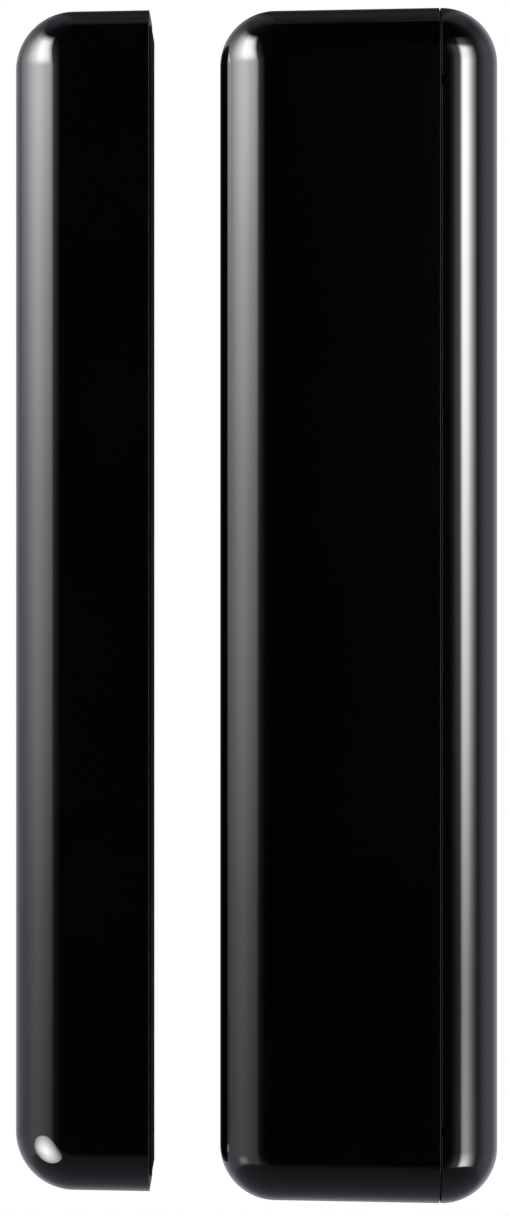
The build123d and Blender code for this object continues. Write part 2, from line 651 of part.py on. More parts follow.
def tamper_spring():
    """Coil spring round the stem, between the body and the head."""
    end_gap = TAMPER_SPRING_WIRE + TAMPER_SPRING_PLAY
    height = TAMPER_SPRING_ROOM - 2 * end_gap
    start = Pos(TAMPER_BODY_TOP + end_gap, TAMPER_Y, TAMPER_Z)
    path = start * Rot(0, 90, 0) * Helix(height / TAMPER_SPRING_TURNS, height, TAMPER_SPRING_COIL)
    return wire(path, TAMPER_SPRING_WIRE)


# ---- Pairing switch ----

def pairing_switch_body():
    """Small push switch: square body with a metal-framed top and the button's well."""
    body = on_board(PAIRING_Y, PAIRING_Z, PAIRING_BODY_SIZE, PAIRING_BODY_SIZE, PAIRING_BODY_HEIGHT)
    body = chamfer(body.edges().filter_by(Axis.X), PAIRING_CHAMFER)
    well = (BOARD_FACE_X + PAIRING_FLOOR, BOARD_FACE_X + PAIRING_BODY_HEIGHT + PAST)
    return body - rod_x(PAIRING_CAP_RADIUS + PAIRING_SIDE_PLAY, well, PAIRING_Y, PAIRING_Z)


def pairing_button():
    """Round button that travels into the switch body."""
    foot_x = BOARD_FACE_X + PAIRING_FLOOR + PAIRING_TRAVEL + PAIRING_FOOT_PLAY
    top_x = BOARD_FACE_X + PAIRING_BODY_HEIGHT + PAIRING_CAP_HEIGHT
    cap = rod_x(PAIRING_CAP_RADIUS, (foot_x, top_x), PAIRING_Y, PAIRING_Z)
    return fillet(cap.faces().sort_by(Axis.X)[-1].edges(), PAIRING_CAP_ROUND)


# ---- Battery and its holder ----

def battery_can():
    """Steel can of the cell with its raised positive end."""
    shoulder = CELL_TOP - CELL_NUB_HEIGHT
    can = rod_z(CELL_RADIUS - CELL_SLEEVE, CELL_X, CELL_Y, (CELL_BOTTOM, shoulder))
    can = fillet(can.edges().filter_by(GeomType.CIRCLE), CELL_ROUND)
    nub = rod_z(CELL_NUB_RADIUS, CELL_X, CELL_Y, (shoulder - OVERLAP, CELL_TOP))
    nub = fillet(nub.faces().sort_by(Axis.Z)[-1].edges(), CELL_NUB_ROUND)
    return can + nub


def battery_sleeve():
    """Shrunk plastic sleeve round the can, turned in over its top shoulder."""
    low, high = CELL_BOTTOM + CELL_ROUND, CELL_TOP - CELL_NUB_HEIGHT - CELL_ROUND
    sleeve = rod_z(CELL_RADIUS, CELL_X, CELL_Y, (low, high))
    return sleeve - rod_z(CELL_RADIUS - CELL_SLEEVE, CELL_X, CELL_Y, (low - PAST, high + PAST))


def battery_holder():
    """Moulded cradle soldered to the board: channel for the cell between two end walls."""
    y = around(CELL_Y, HOLDER_WIDTH)
    rail_top = CELL_X - HOLDER_RAIL_DROP
    cradle = block((BOARD_FACE_X, rail_top), y, (HOLDER_BOTTOM, HOLDER_TOP))
    inside = (HOLDER_BOTTOM + HOLDER_END_WALL, HOLDER_TOP - HOLDER_END_WALL)
    cradle -= rod_z(CELL_RADIUS + CELL_CLEARANCE, CELL_X, CELL_Y, inside)
    slot_y = around(CELL_Y, CONTACT_FOOT_WIDTH + HOLDER_SLOT_PLAY)
    cradle -= block((BOARD_FACE_X - PAST, rail_top), slot_y, inside)
    for low, high in ((HOLDER_BOTTOM, inside[0]), (inside[1], HOLDER_TOP)):
        end = block((BOARD_FACE_X, CELL_X + HOLDER_END_RISE), around(CELL_Y, HOLDER_END_WIDTH), (low, high))
        cradle += fillet(end.edges().filter_by(Axis.Z).sort_by(Axis.X)[-2:], HOLDER_END_ROUND)
    return cradle


def contact_plate(z, width):
    """Round-cornered plate across the cell's end, with a foot that is soldered to the board."""
    down, up = CONTACT_REACH
    plate = block((CELL_X - down, CELL_X + up), around(CELL_Y, width), z)
    plate = fillet(plate.edges().filter_by(Axis.Z), CONTACT_CORNER_RADIUS)
    return plate + block((BOARD_FACE_X, CELL_X - CONTACT_FOOT_REACH), around(CELL_Y, CONTACT_FOOT_WIDTH), z)


def battery_positive_contact():
    """Plate against the holder's upper end wall."""
    high = HOLDER_TOP - HOLDER_END_WALL
    return contact_plate((high - CONTACT_THICKNESS, high), POSITIVE_CONTACT_WIDTH)


def battery_negative_contact():
    """Plate against the holder's lower end wall, which carries the battery spring."""
    low = HOLDER_BOTTOM + HOLDER_END_WALL
    return contact_plate((low, low + CONTACT_THICKNESS), NEGATIVE_CONTACT_WIDTH)


def battery_spring():
    """Conical spring that presses the cell against the positive plate."""
    low = HOLDER_BOTTOM + HOLDER_END_WALL + CONTACT_THICKNESS + BATTERY_SPRING_WIRE
    height = CELL_BOTTOM - BATTERY_SPRING_WIRE - low - BATTERY_SPRING_PLAY
    pitch = height / BATTERY_SPRING_TURNS
    path = Helix(pitch, height, BATTERY_SPRING_BASE, cone_angle=BATTERY_SPRING_CONE)
    return wire(Pos(CELL_X, CELL_Y, low) * path, BATTERY_SPRING_WIRE)


# ---- Magnet unit ----

def magnet_frame(part):
    """Lift a part of the magnet unit to the height that it is fitted at."""
    return Pos(0, 0, MAGNET_UNIT_RAISE) * part


def plate_block(x, play=0.0):
    """Block with the plate's outline between the pair x, or the slightly larger one of its seat."""
    width = BACK - MAGNET_FRONT - 2 * (PLATE_SIDE_INSET - play)
    length = MAGNET_UNIT_LENGTH - 2 * (PLATE_END_INSET - play)
    front_radius, back_radius = PLATE_CORNER_RADII
    outline = Rectangle(width, length)
    outline = fillet(outline.vertices().sort_by(Axis.X)[:2], front_radius + play)
    outline = fillet(outline.vertices().sort_by(Axis.X)[-2:], back_radius + play)
    low, high = x
    plane = Plane(origin=(low, MAGNET_Y, 0), x_dir=(0, 1, 0), z_dir=(1, 0, 0))
    return extrude(plane * outline, amount=high - low)


def bar_magnet_z():
    """Z span of the magnet, level with the reed switch, before the unit is lifted."""
    return around(REED_Z - MAGNET_UNIT_RAISE, MAGNET_LENGTH)


def magnet_housing():
    """The magnet unit's tray: outer shell, seat for the plate and a ribbed pocket for the magnet."""
    depths = (MAGNET_FRONT, BACK)
    edges = (FRONT_EDGE_RADIUS, BACK_EDGE_RADIUS)
    shell = tray_solid(MAGNET_LEFT, MAGNET_RIM_X, MAGNET_UNIT_LENGTH, depths, MAGNET_CORNER_RADIUS, edges)
    shell -= tray_solid(
        MAGNET_LEFT, MAGNET_RIM_X, MAGNET_UNIT_LENGTH, depths, MAGNET_CORNER_RADIUS, edges, WALL, PAST
    )
    shell -= plate_block((PLATE_X - PLATE_THICKNESS, PLATE_X + PAST), PLATE_CLEARANCE)
    rib_x = (MAGNET_LEFT + WALL - OVERLAP, MAGNET_X[1] - MAGNET_RIB)
    low, high = bar_magnet_z()
    end_gap = MAGNET_RIB / 2 + MAGNET_RIB_PLAY
    for z in (low - end_gap, high + end_gap):
        shell += block(rib_x, around(MAGNET_Y, MAGNET_DEPTH + 2 * MAGNET_RIB), around(z, MAGNET_RIB))
    for z in (low + MAGNET_RIB_SETBACK, high - MAGNET_RIB_SETBACK):
        for side, wall_y in ((-1, MAGNET_FRONT + WALL - OVERLAP), (1, BACK - WALL + OVERLAP)):
            rib_y = sorted((wall_y, MAGNET_Y + side * (MAGNET_DEPTH / 2 + MAGNET_RIB_PLAY)))
            shell += block(rib_x, rib_y, around(z, MAGNET_RIB))
    return magnet_frame(shell)


def magnet_side_plate():
    """Flat plate that closes the tray on the side that faces the sensor."""
    plate = plate_block((PLATE_X - PLATE_THICKNESS, PLATE_X))
    plate = fillet(plate.faces().sort_by(Axis.X)[-1].edges(), PLATE_EDGE_RADIUS)
    return magnet_frame(plate)


def bar_magnet():
    """Ceramic bar magnet with broken edges."""
    bar = block(MAGNET_X, around(MAGNET_Y, MAGNET_DEPTH), bar_magnet_z())
    return magnet_frame(chamfer(bar.edges(), MAGNET_EDGE))


def magnet_foam():
    """Foam strip behind the magnet that keeps it from rattling."""
    x = (MAGNET_X[0] - FOAM_THICKNESS, MAGNET_X[0])
    z = around(REED_Z - MAGNET_UNIT_RAISE, FOAM_LENGTH)
    return magnet_frame(block(x, around(MAGNET_Y, MAGNET_DEPTH - 2 * FOAM_MARGIN), z))


def magnet_adhesive_pad():
    """Foam tape on the magnet unit's back."""
    outline = RectangleRounded(*MAGNET_PAD_SIZE, PAD_CORNER_RADIUS)
    pad = upright_block(outline, BACK, 0.0)
    return magnet_frame(Pos(MAGNET_LEFT + MAGNET_PAD_OFFSET, 0, 0) * pad)


PARTS = (
    sensor_housing,
    side_cover,
    sensor_adhesive_pad,
    circuit_board,
    board_screws,
    microcontroller,
    radio_chip,
    crystal,
    bulk_capacitor,
    chip_parts,
    status_led,
    aerial,
    reed_glass,
    reed_fixed_blade,
    reed_upper_lead,
    reed_moving_blade,
    tamper_switch_body,
    tamper_plunger,
    tamper_spring,
    pairing_switch_body,
    pairing_button,
    battery_can,
    battery_sleeve,
    battery_holder,
    battery_positive_contact,
    battery_negative_contact,
    battery_spring,
    magnet_housing,
    magnet_side_plate,
    bar_magnet,
    magnet_foam,
    magnet_adhesive_pad,
)

os.makedirs("parts", exist_ok=True)
for make in PARTS:
    export_step(make(), f"parts/{make.__name__}.step")
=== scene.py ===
"""Looks of the door contact sensor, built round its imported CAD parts."""

import math
import random

import bmesh
import bpy
import numpy as np
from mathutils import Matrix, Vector


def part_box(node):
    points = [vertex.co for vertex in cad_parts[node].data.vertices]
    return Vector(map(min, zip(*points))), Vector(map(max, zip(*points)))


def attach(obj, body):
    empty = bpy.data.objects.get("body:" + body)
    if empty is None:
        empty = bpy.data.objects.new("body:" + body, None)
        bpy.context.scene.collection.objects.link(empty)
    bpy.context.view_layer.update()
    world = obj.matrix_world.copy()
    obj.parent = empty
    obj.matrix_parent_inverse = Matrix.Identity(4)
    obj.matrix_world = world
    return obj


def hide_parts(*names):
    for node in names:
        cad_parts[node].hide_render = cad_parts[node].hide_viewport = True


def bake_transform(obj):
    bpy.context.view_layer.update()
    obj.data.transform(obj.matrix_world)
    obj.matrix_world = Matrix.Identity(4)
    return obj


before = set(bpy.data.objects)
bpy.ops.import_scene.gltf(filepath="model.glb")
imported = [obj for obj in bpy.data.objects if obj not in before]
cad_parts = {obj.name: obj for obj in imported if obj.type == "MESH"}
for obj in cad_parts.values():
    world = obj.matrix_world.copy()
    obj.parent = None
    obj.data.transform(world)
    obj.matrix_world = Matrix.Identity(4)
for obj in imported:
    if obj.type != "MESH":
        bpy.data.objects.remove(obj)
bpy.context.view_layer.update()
MM = 0.001
ARC = 24                        # segments in a quarter of a rounded edge
CAP_RINGS = 3                   # rings in a wire's rounded end
LEAST_RADIUS = 0.3              # of the edges of a shell's inner skin


def settle(thing, **values):
    """Set several of a thing's attributes."""
    for key, value in values.items():
        setattr(thing, key, value)
    return thing


def corners(node):
    """A CAD node's low and high corner in millimetres."""
    low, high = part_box(node)
    return np.array(low) / MM, np.array(high) / MM


# ---- Mesh helpers: points in millimetres, in the row frame ----

def new_piece(name, points, faces, body, slot, stands_for=(), smooth=True):
    """Mesh piece from points in millimetres."""
    mesh = bpy.data.meshes.new(name)
    mesh.from_pydata([[c * MM for c in p] for p in points], [], [list(map(int, f)) for f in faces])
    mesh.validate()
    mesh.update()
    piece = bpy.data.objects.new(name, mesh)
    bpy.context.scene.collection.objects.link(piece)
    tidy_normals(piece)
    if smooth:
        mesh.shade_smooth()
    if body:
        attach(piece, body)
    if stands_for:
        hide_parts(*stands_for)
    return piece


def tidy_normals(piece):
    """Weld the mesh and turn its faces outwards."""
    edit = bmesh.new()
    edit.from_mesh(piece.data)
    bmesh.ops.remove_doubles(edit, verts=edit.verts, dist=1e-7)
    bmesh.ops.recalc_face_normals(edit, faces=edit.faces)
    edit.to_mesh(piece.data)
    edit.free()


def modify(piece, kind, **values):
    settle(piece.modifiers.new(kind.lower(), kind), **values)


def crisp(piece, degrees=35):
    """Smooth shading that stays sharp at corners, with normals that follow the large faces."""
    piece.data.shade_smooth()
    piece.data.set_sharp_from_angle(angle=math.radians(degrees))
    modify(piece, "WEIGHTED_NORMAL", mode="FACE_AREA", weight=90, keep_sharp=True)


def soften(piece, width):
    """Small bevel on every corner, in millimetres."""
    modify(piece, "WELD", merge_threshold=1e-6)
    modify(piece, "BEVEL", width=width * MM, segments=2, limit_method="ANGLE", angle_limit=math.radians(30),
           harden_normals=False)
    modify(piece, "WEIGHTED_NORMAL", mode="FACE_AREA", keep_sharp=False)


def stack(rings, ends=True, loop=False):
    """Mesh through rings of points, where a ring may be a single point; with flat ends, or closed round a loop."""
    points, faces, starts = [], [], []
    for ring in rings:
        starts.append(len(points))
        points += ring
    for i in range(len(rings) if loop else len(rings) - 1):
        j = (i + 1) % len(rings)
        a, b, count = starts[i], starts[j], max(len(rings[i]), len(rings[j]))
        for k in range(count):
            after = (k + 1) % count
            if len(rings[i]) == 1:
                faces.append((a, b + k, b + after))
            elif len(rings[j]) == 1:
                faces.append((a + k, b, a + after))
            else:
                faces.append((a + k, a + after, b + after, b + k))
    if ends:
        faces += [tuple(range(len(rings[0]))), tuple(range(starts[-1], len(points)))]
    return points, faces


def circle(middle, across, other, radius, count):
    """Points round a circle, from its two unit directions."""
    turns = [2 * math.pi * k / count for k in range(count)]
    return [(middle + (across * math.cos(t) + other * math.sin(t)) * radius)[:] for t in turns]


def lathe(profile, centre, axis, segments, loop=False):
    """Turned solid: (radius, height) pairs from one end to the other, or round a loop, about an axis through centre."""
    axis = Vector(axis)
    across = axis.orthogonal().normalized()
    rings = []
    for radius, height in profile:
        middle = Vector(centre) + axis * height
        rings.append(circle(middle, across, axis.cross(across), radius, segments) if radius > 0 else [middle[:]])
    return stack(rings, False, loop)


def bend(centre, radius, start, stop, steps=6):
    """Points of an arc in (radius, height) coordinates, for a turned profile."""
    turns = np.linspace(math.radians(start), math.radians(stop), steps + 1)
    return [(centre[0] + radius * math.cos(t), centre[1] + radius * math.sin(t)) for t in turns]


def quarter(radius, steps, start=0.0):
    """Samples round a quarter of an edge, as (distance in from the side, distance in from the face)."""
    turns = np.linspace(start, math.pi / 2, steps + 1)
    return [(radius * (1 - math.sin(t)), radius * (1 - math.cos(t))) for t in turns]


def tube(path, radius, sides=14):
    """Round wire along points, with rounded ends."""
    path = [Vector(p) for p in path]
    tangents = [(path[min(i + 1, len(path) - 1)] - path[max(i - 1, 0)]).normalized() for i in range(len(path))]
    across = tangents[0].orthogonal().normalized()
    rings = []
    for place, along in zip(path, tangents):
        across = (across - along * across.dot(along)).normalized()
        rings.append((place, along, across.copy(), radius))
    leans = [math.pi / 2 * k / (CAP_RINGS + 0.35) for k in range(1, CAP_RINGS + 1)]
    caps = []
    for (place, along, side, _), sign in ((rings[0], -1), (rings[-1], 1)):
        caps.append([(place + along * (sign * math.sin(a) * radius), along, side, math.cos(a) * radius) for a in leans])
    rings = caps[0][::-1] + rings + caps[1]
    return stack([circle(place, side, along.cross(side), r, sides) for place, along, side, r in rings])


def helix(centre, radius, low, high, turns, axis="x", start=0.0, radius_end=None, per_turn=48):
    """Points along a coil between two heights on its axis."""
    steps = int(turns * per_turn)
    radius_end = radius if radius_end is None else radius_end
    out = []
    for i in range(steps + 1):
        share = i / steps
        turn = start + 2 * math.pi * turns * share
        r = radius + (radius_end - radius) * share
        along = low + (high - low) * share
        round_it = (centre[0] + r * math.cos(turn), centre[1] + r * math.sin(turn))
        out.append((along, *round_it) if axis == "x" else (*round_it, along))
    return out


def slab(outline, spans, round_edge, axis, steps=3):
    """Plate from a flat outline (a list of 2-D points) between two heights, with rounded long edges."""
    (low, high), edge = spans, quarter(round_edge, steps)
    levels = [(inset, low + rise) for inset, rise in edge] + [(inset, high - rise) for inset, rise in edge[::-1]]
    return layers(outline, levels, axis)


def layers(outline, levels, axis):
    """Solid from copies of an outline, each moved inwards and to a height, as (inset, height) pairs."""
    outline = np.array(outline, float)
    following, before = np.roll(outline, -1, 0), np.roll(outline, 1, 0)
    tangent = sum(step / np.linalg.norm(step, axis=1)[:, None] for step in (following - outline, outline - before))
    tangent /= np.linalg.norm(tangent, axis=1)[:, None]
    area = np.sum(outline[:, 0] * following[:, 1] - following[:, 0] * outline[:, 1])
    inward = np.stack([-tangent[:, 1], tangent[:, 0]], 1) * np.sign(area)
    index = "xyz".index(axis)
    return stack([np.insert(outline + inward * np.reshape(inset, (-1, 1)), index, level, 1).tolist()
                  for inset, level in levels])


def round_rectangle(low, high, radii, steps=10):
    """Outline of a rectangle with one radius for each corner, counter-clockwise from (low, low)."""
    places = [(low[0], low[1], 180), (high[0], low[1], 270), (high[0], high[1], 0), (low[0], high[1], 90)]
    out = []
    for (a, b, start), r in zip(places, radii):
        centre = (a + r if a == low[0] else a - r, b + r if b == low[1] else b - r)
        for t in np.linspace(math.radians(start), math.radians(start + 90), steps + 1):
            out.append((centre[0] + r * math.cos(t), centre[1] + r * math.sin(t)))
    return out


def merge(parts):
    """Several (points, faces) pairs as one."""
    points, faces = [], []
    for p, f in parts:
        shift = len(points)
        points += list(p)
        faces += [[i + shift for i in face] for face in f]
    return points, faces


def box_mesh(x, y, z):
    """Plain block, for cutting and for joining."""
    points = [(a, b, c) for a in x for b in y for c in z]
    faces = [(0, 1, 3, 2), (4, 6, 7, 5), (0, 4, 5, 1), (2, 3, 7, 6), (0, 2, 6, 4), (1, 5, 7, 3)]
    return points, faces


def around(centre, width):
    """The (low, high) pair of a span of this width."""
    return centre - width / 2, centre + width / 2


def brick(x, y, z, corner=0.1, edge=0.05, steps=3):
    """Block with round corners seen along X and rounded edges on its two faces."""
    outline = round_rectangle((y[0], z[0]), (y[1], z[1]), (corner,) * 4, steps)
    return slab(outline, x, edge, "x", 2)


def combine(piece, operation, shapes):
    """Cut shapes from a piece or join them to it, and keep the result as its mesh."""
    tools = []
    for i, (points, faces) in enumerate(shapes):
        tool = new_piece(f"tool_{i}", points, faces, None, None, smooth=False)
        tool.hide_render = True
        for face in tool.data.polygons:
            face.material_index = 1
        tools.append(tool)
        modify(piece, "BOOLEAN", operation=operation, solver="EXACT", object=tool)
    bpy.context.view_layer.update()
    graph = bpy.context.evaluated_depsgraph_get()
    made = bpy.data.meshes.new_from_object(piece.evaluated_get(graph), depsgraph=graph)
    piece.modifiers.clear()
    piece.data = made
    for tool in tools:
        bpy.data.objects.remove(tool, do_unlink=True)


# ---- Trays: the shells of the two units ----

class Tray:
    """A shell that is open at its rim. u runs from the rim to the closed side."""

    def __init__(self, rim_x, side, depth, half, y, corner, draft=0.0, lift=0.0):
        self.rim_x, self.side, self.depth, self.half, self.corner, self.lift = rim_x, side, depth, half, corner, lift
        self.front, self.back = y
        self.lean = math.radians(draft)
        self.slope = math.tan(self.lean)
        self.points, self.faces = [], []

    def profile(self, inset_y, inset_z, radii):
        """(inward distance, y) samples from the front face round to the back face."""
        front, back = quarter(radii[0], ARC), quarter(radii[1], ARC // 3)[::-1]
        out = [(inset_z + d, self.front + inset_y + y) for d, y in front]
        return out + [(inset_z + d, self.back - inset_y - y) for d, y in back]

    def radii(self, inset):
        return [max(radius - inset, LEAST_RADIUS) for radius in EDGE_RADII]

    def add(self, u, y, z):
        self.points.append((self.rim_x - self.side * u, y, z + self.lift))
        return len(self.points) - 1

    def ring(self, u, inset=0.0, inset_z=None, radii=None):
        """Closed section at u: a top row and a bottom row of samples."""
        inset_z = inset if inset_z is None else inset_z
        rows = []
        for sign in (1, -1):
            row = []
            for d, y in self.profile(inset, inset_z, radii or self.radii(inset)):
                z = self.half - d / math.cos(self.lean) - u * self.slope
                row.append(self.add(u, y, sign * z))
            rows.append(row)
        return rows

    def strip(self, a, b):
        """Faces between two rows of samples."""
        self.faces += [(a[k], a[k + 1], b[k + 1], b[k]) for k in range(len(a) - 1)]

    def join(self, a, b):
        """Strip of faces between two rings."""
        for row_a, row_b in zip(a, b):
            self.strip(row_a, row_b)
        self.faces += [(a[0][k], b[0][k], b[1][k], a[1][k]) for k in (0, -1)]

    def skin(self, ring, inset=0.0):
        """Closed skin from a ring round the closed side."""
        samples = self.profile(inset, inset, self.radii(inset))
        far = self.depth - self.corner
        middle = self.half - far * self.slope - self.corner / math.cos(self.lean)
        rows = [ring[0]]
        turns = np.linspace(math.pi / 2 - self.lean, 0, ARC + 1)
        for sign, order in ((1, turns), (-1, turns[::-1])):
            for t in order:
                row = []
                for d, y in samples:
                    r = self.corner - d
                    row.append(self.add(far + r * math.cos(t), y, sign * (middle + r * math.sin(t))))
                rows.append(row)
        rows.append(ring[1])
        for a, b in zip(rows, rows[1:]):
            self.strip(a, b)
        self.faces += [[row[0] for row in rows], [row[-1] for row in rows]]

    def rim(self, sections, wall):
        """Outer skin, sections as (u, inset) pairs or rings, and the inner skin at the wall's inset."""
        rings = [self.ring(*s) if isinstance(s, tuple) else s for s in sections]
        self.skin(rings[0])
        self.inner = len(self.faces)
        for a, b in zip(rings, rings[1:]):
            self.join(a, b)
        self.skin(rings[-1], wall)


housing_low, housing_high = corners("sensor_housing")
cover_high = corners("side_cover")[1]
magnet_low, magnet_high = corners("magnet_housing")
plate_low, plate_high = corners("magnet_side_plate")
WALL = 1.6
FRONT, BACK = housing_low[1], housing_high[1]
RIM_X = housing_high[0]
SEAM_GAP = 0.14                 # between the two rims
COVER_RIM_X = RIM_X + SEAM_GAP
HALF = cover_high[2]
EDGE_RADII = (4.6, 0.8)         # of the shells' long edges, front and back
LATCHES = (-48.0, 1.5, 48.0)
HOUSING_RIM_ROUND, COVER_RIM_ROUND, MAGNET_RIM_ROUND = 0.035, 0.02, 0.02
SIDE_CORNER, MAGNET_CORNER = 5.15, 5.5                  # radius where the closed side meets the top and bottom
DRAFT = 1.05                    # degrees
TONGUE_WIDTH = 5.0              # of the cover's latches
PLUNGE = 0.2                    # how far joined blocks reach into the wall
ALONG_X, ALONG_Z = (1, 0, 0), (0, 0, 1)
INNER_FRONT, INNER_BACK = FRONT + WALL, BACK - WALL
INNER_LEFT, INNER_RIGHT = housing_low[0] + WALL, cover_high[0] - WALL
MID_Y = (FRONT + BACK) / 2
board_low, board_high = corners("circuit_board")
BOARD_BACK, BOARD_FACE = board_low[0], board_high[0]
SCREWS = ((-13.0, -6.6), (-8.0, 48.0))
TAMPER = (-8.0, 38.0)
INSIDE = 1                      # slot of the shells' duller inside finish


def shell_piece(name, tray, body, node):
    """Mesh piece of a tray, with its inner faces set apart."""
    piece = new_piece(name, tray.points, tray.faces, body, "gloss_black_housing", [node])
    assert len(piece.data.polygons) == len(tray.faces)
    for face in piece.data.polygons[tray.inner:]:
        face.material_index = INSIDE
    return piece


def rim_tools(spans, y_spans):
    """One cutting or joining block for each latch height and each pair in y_spans."""
    return merge([box_mesh(spans[0], y, around(z, spans[1])) for z in LATCHES for y in y_spans])


def build_housing():
    tray = Tray(RIM_X, 1, RIM_X - housing_low[0], HALF, (FRONT, BACK), SIDE_CORNER, DRAFT)
    tray.rim(quarter(HOUSING_RIM_ROUND, 3) + [(0.0, 0.8), (1.65, 0.8), (1.65, WALL)], WALL)
    piece = shell_piece("housing_shell", tray, "sensor", "sensor_housing")
    foot = INNER_LEFT - PLUNGE
    boss = [(0, foot), (2.4, foot), (2.4, BOARD_BACK - 0.2), (2.2, BOARD_BACK), (0, BOARD_BACK)]
    bore = [(0, BOARD_BACK - 3.3), (1.0, BOARD_BACK - 3.3), (1.0, BOARD_BACK + 1), (0, BOARD_BACK + 1)]
    rests = [box_mesh((foot, BOARD_BACK), around(MID_Y, 12.0), around(z, 1.4)) for z in (-49, -30, 30)]
    combine(piece, "UNION", [merge(rests + [lathe(boss, (0, y, z), ALONG_X, 40) for y, z in SCREWS])])
    grooves = rim_tools(((RIM_X - 6.0, RIM_X + 1.0), TONGUE_WIDTH + 0.6),
                        ((INNER_FRONT - 0.45, INNER_FRONT + 1), (INNER_BACK - 1, INNER_BACK + 0.45)))
    combine(piece, "DIFFERENCE", [grooves, merge([lathe(bore, (0, y, z), ALONG_X, 32) for y, z in SCREWS])])
    return piece


def build_cover():
    tray = Tray(COVER_RIM_X, -1, cover_high[0] - COVER_RIM_X, HALF, (FRONT, BACK), SIDE_CORNER)
    lip = [(0.0, 0.95), (-1.4, 0.95), (-1.5, 1.05), (-1.5, 1.5), (-1.4, WALL)]
    tray.rim(quarter(COVER_RIM_ROUND, 3) + lip, WALL)
    piece = shell_piece("cover_shell", tray, "side_cover", "side_cover")
    tip, root, base = COVER_RIM_X - 5.0, INNER_RIGHT - 1.5, INNER_RIGHT + PLUNGE
    low, high = INNER_FRONT + 0.15, INNER_BACK - 0.15
    tongues = merge([brick((tip, root), y, around(z, TONGUE_WIDTH), 0.15, 0.15)
                     for z in LATCHES for y in ((low, low + 1.0), (high - 1.0, high))])
    gussets = rim_tools(((COVER_RIM_X - 1.4, root), TONGUE_WIDTH), ((low - 0.35, low + 0.2), (high - 0.2, high + 0.35)))
    bead = [(0, -2.0), (0.22, -2.0), (0.35, -1.87), (0.35, 1.87), (0.22, 2.0), (0, 2.0)]
    ridges = merge([lathe(bead, (tip + 1.0, y, z), ALONG_Z, 24) for z in LATCHES for y in (low, high)])
    y, z = TAMPER
    post_tip = corners("tamper_plunger")[1][0] + 0.05
    nose = [(1.6 - d, post_tip + u) for d, u in quarter(0.3, 4, 0.3)]
    post = [(0, post_tip), (1.3, post_tip), *nose, (1.6, base), (0, base)]
    rib_x = (INNER_RIGHT - 4.0, base)
    ribs = [box_mesh(rib_x, around(y, 0.9), around(z, 8.0)), box_mesh(rib_x, around(y, 8.0), around(z, 0.9))]
    combine(piece, "UNION", [gussets, tongues, ridges, *ribs, lathe(post, (0, y, z), ALONG_X, 40)])
    notch = ((COVER_RIM_X - 1.0, COVER_RIM_X + 0.45), around(FRONT, 2.0))
    combine(piece, "DIFFERENCE", [merge([box_mesh(*notch, around(z, 0.9)) for z in (LATCHES[0], LATCHES[-1])])])
    return piece


def build_magnet_housing():
    rim_x, low, high = magnet_high[0], magnet_low, magnet_high
    lift, half = (low[2] + high[2]) / 2, (high[2] - low[2]) / 2
    tray = Tray(rim_x, 1, rim_x - low[0], half, (low[1], high[1]), MAGNET_CORNER, DRAFT, lift)
    seat_depth = rim_x - plate_low[0]
    rings = [tray.ring(*s) for s in quarter(MAGNET_RIM_ROUND, 3)]
    rings += [tray.ring(u, 1.0, 1.45, (3.0, 0.5)) for u in (0.0, seat_depth)]        # the plate's seat
    tray.rim(rings + [tray.ring(seat_depth, WALL)], WALL)
    piece = shell_piece("magnet_shell", tray, "magnet_unit", "magnet_housing")
    bar_low, bar_high = corners("bar_magnet")
    middle = (bar_low[1] + bar_high[1]) / 2
    rib_x = (low[0] + WALL - PLUNGE, bar_high[0] - 1.2)
    ribs = [box_mesh(rib_x, around(middle, 12.4), around(z, 1.2)) for z in (bar_low[2] - 0.8, bar_high[2] + 0.8)]
    sides = ((low[1] + WALL - PLUNGE, middle - 5.2), (middle + 5.2, high[1] - WALL + PLUNGE))
    ribs += [box_mesh(rib_x, y, around(z, 1.2)) for z in (bar_low[2] + 6.0, bar_high[2] - 6.0) for y in sides]
    combine(piece, "UNION", [merge(ribs)])
    return piece


housing = build_housing()
cover = build_cover()
magnet_shell = build_magnet_housing()
outline = round_rectangle((plate_low[1], plate_low[2]), (plate_high[1], plate_high[2]), (2.95, 0.45, 0.45, 2.95))
plate = new_piece("magnet_plate", *slab(outline, (plate_low[0], plate_high[0]), 0.15, "x", 4),
                  "magnet_unit", "matte_black_plate", ["magnet_side_plate"])
for shell in (housing, cover, magnet_shell, plate):
    crisp(shell)


# ---- Foam ----

def resample(outline, step):
    """An outline's points, close together."""
    out = []
    for a, b in zip(outline, outline[1:] + outline[:1]):
        count = max(1, round(math.dist(a, b) / step))
        out += [(a[0] + (b[0] - a[0]) * k / count, a[1] + (b[1] - a[1]) * k / count) for k in range(count)]
    return out


def foam_piece(name, node, body, slot, axis, corner):
    """Cut foam: slightly uneven, waisted sides and soft edges."""
    low, high = corners(node)
    across = [k for k in range(3) if "xyz"[k] != axis]
    along = "xyz".index(axis)
    outline = round_rectangle(low[across], high[across], (corner,) * 4, 8)
    outline = resample(outline, 0.8)
    walk = np.arange(len(outline)) * 0.8
    ripple = 0.5 + 0.5 * np.sin(walk * 2.1 + 1.3) * np.sin(walk * 0.83)
    thick = high[along] - low[along]
    shares = ((0.0, 0.16, 0.0), (0.04, 0.07, 0.0), (0.15, 0.02, 0.5), (0.35, 0.05, 1.0), (0.65, 0.06, 1.0),
              (0.85, 0.02, 0.5), (0.96, 0.07, 0.0), (1.0, 0.16, 0.0))
    levels = [(inset + 0.07 * wave * ripple, low[along] + thick * share) for share, inset, wave in shares]
    piece = new_piece(name, *layers(outline, levels, axis), body, slot, [node])
    crisp(piece, 60)
    return piece


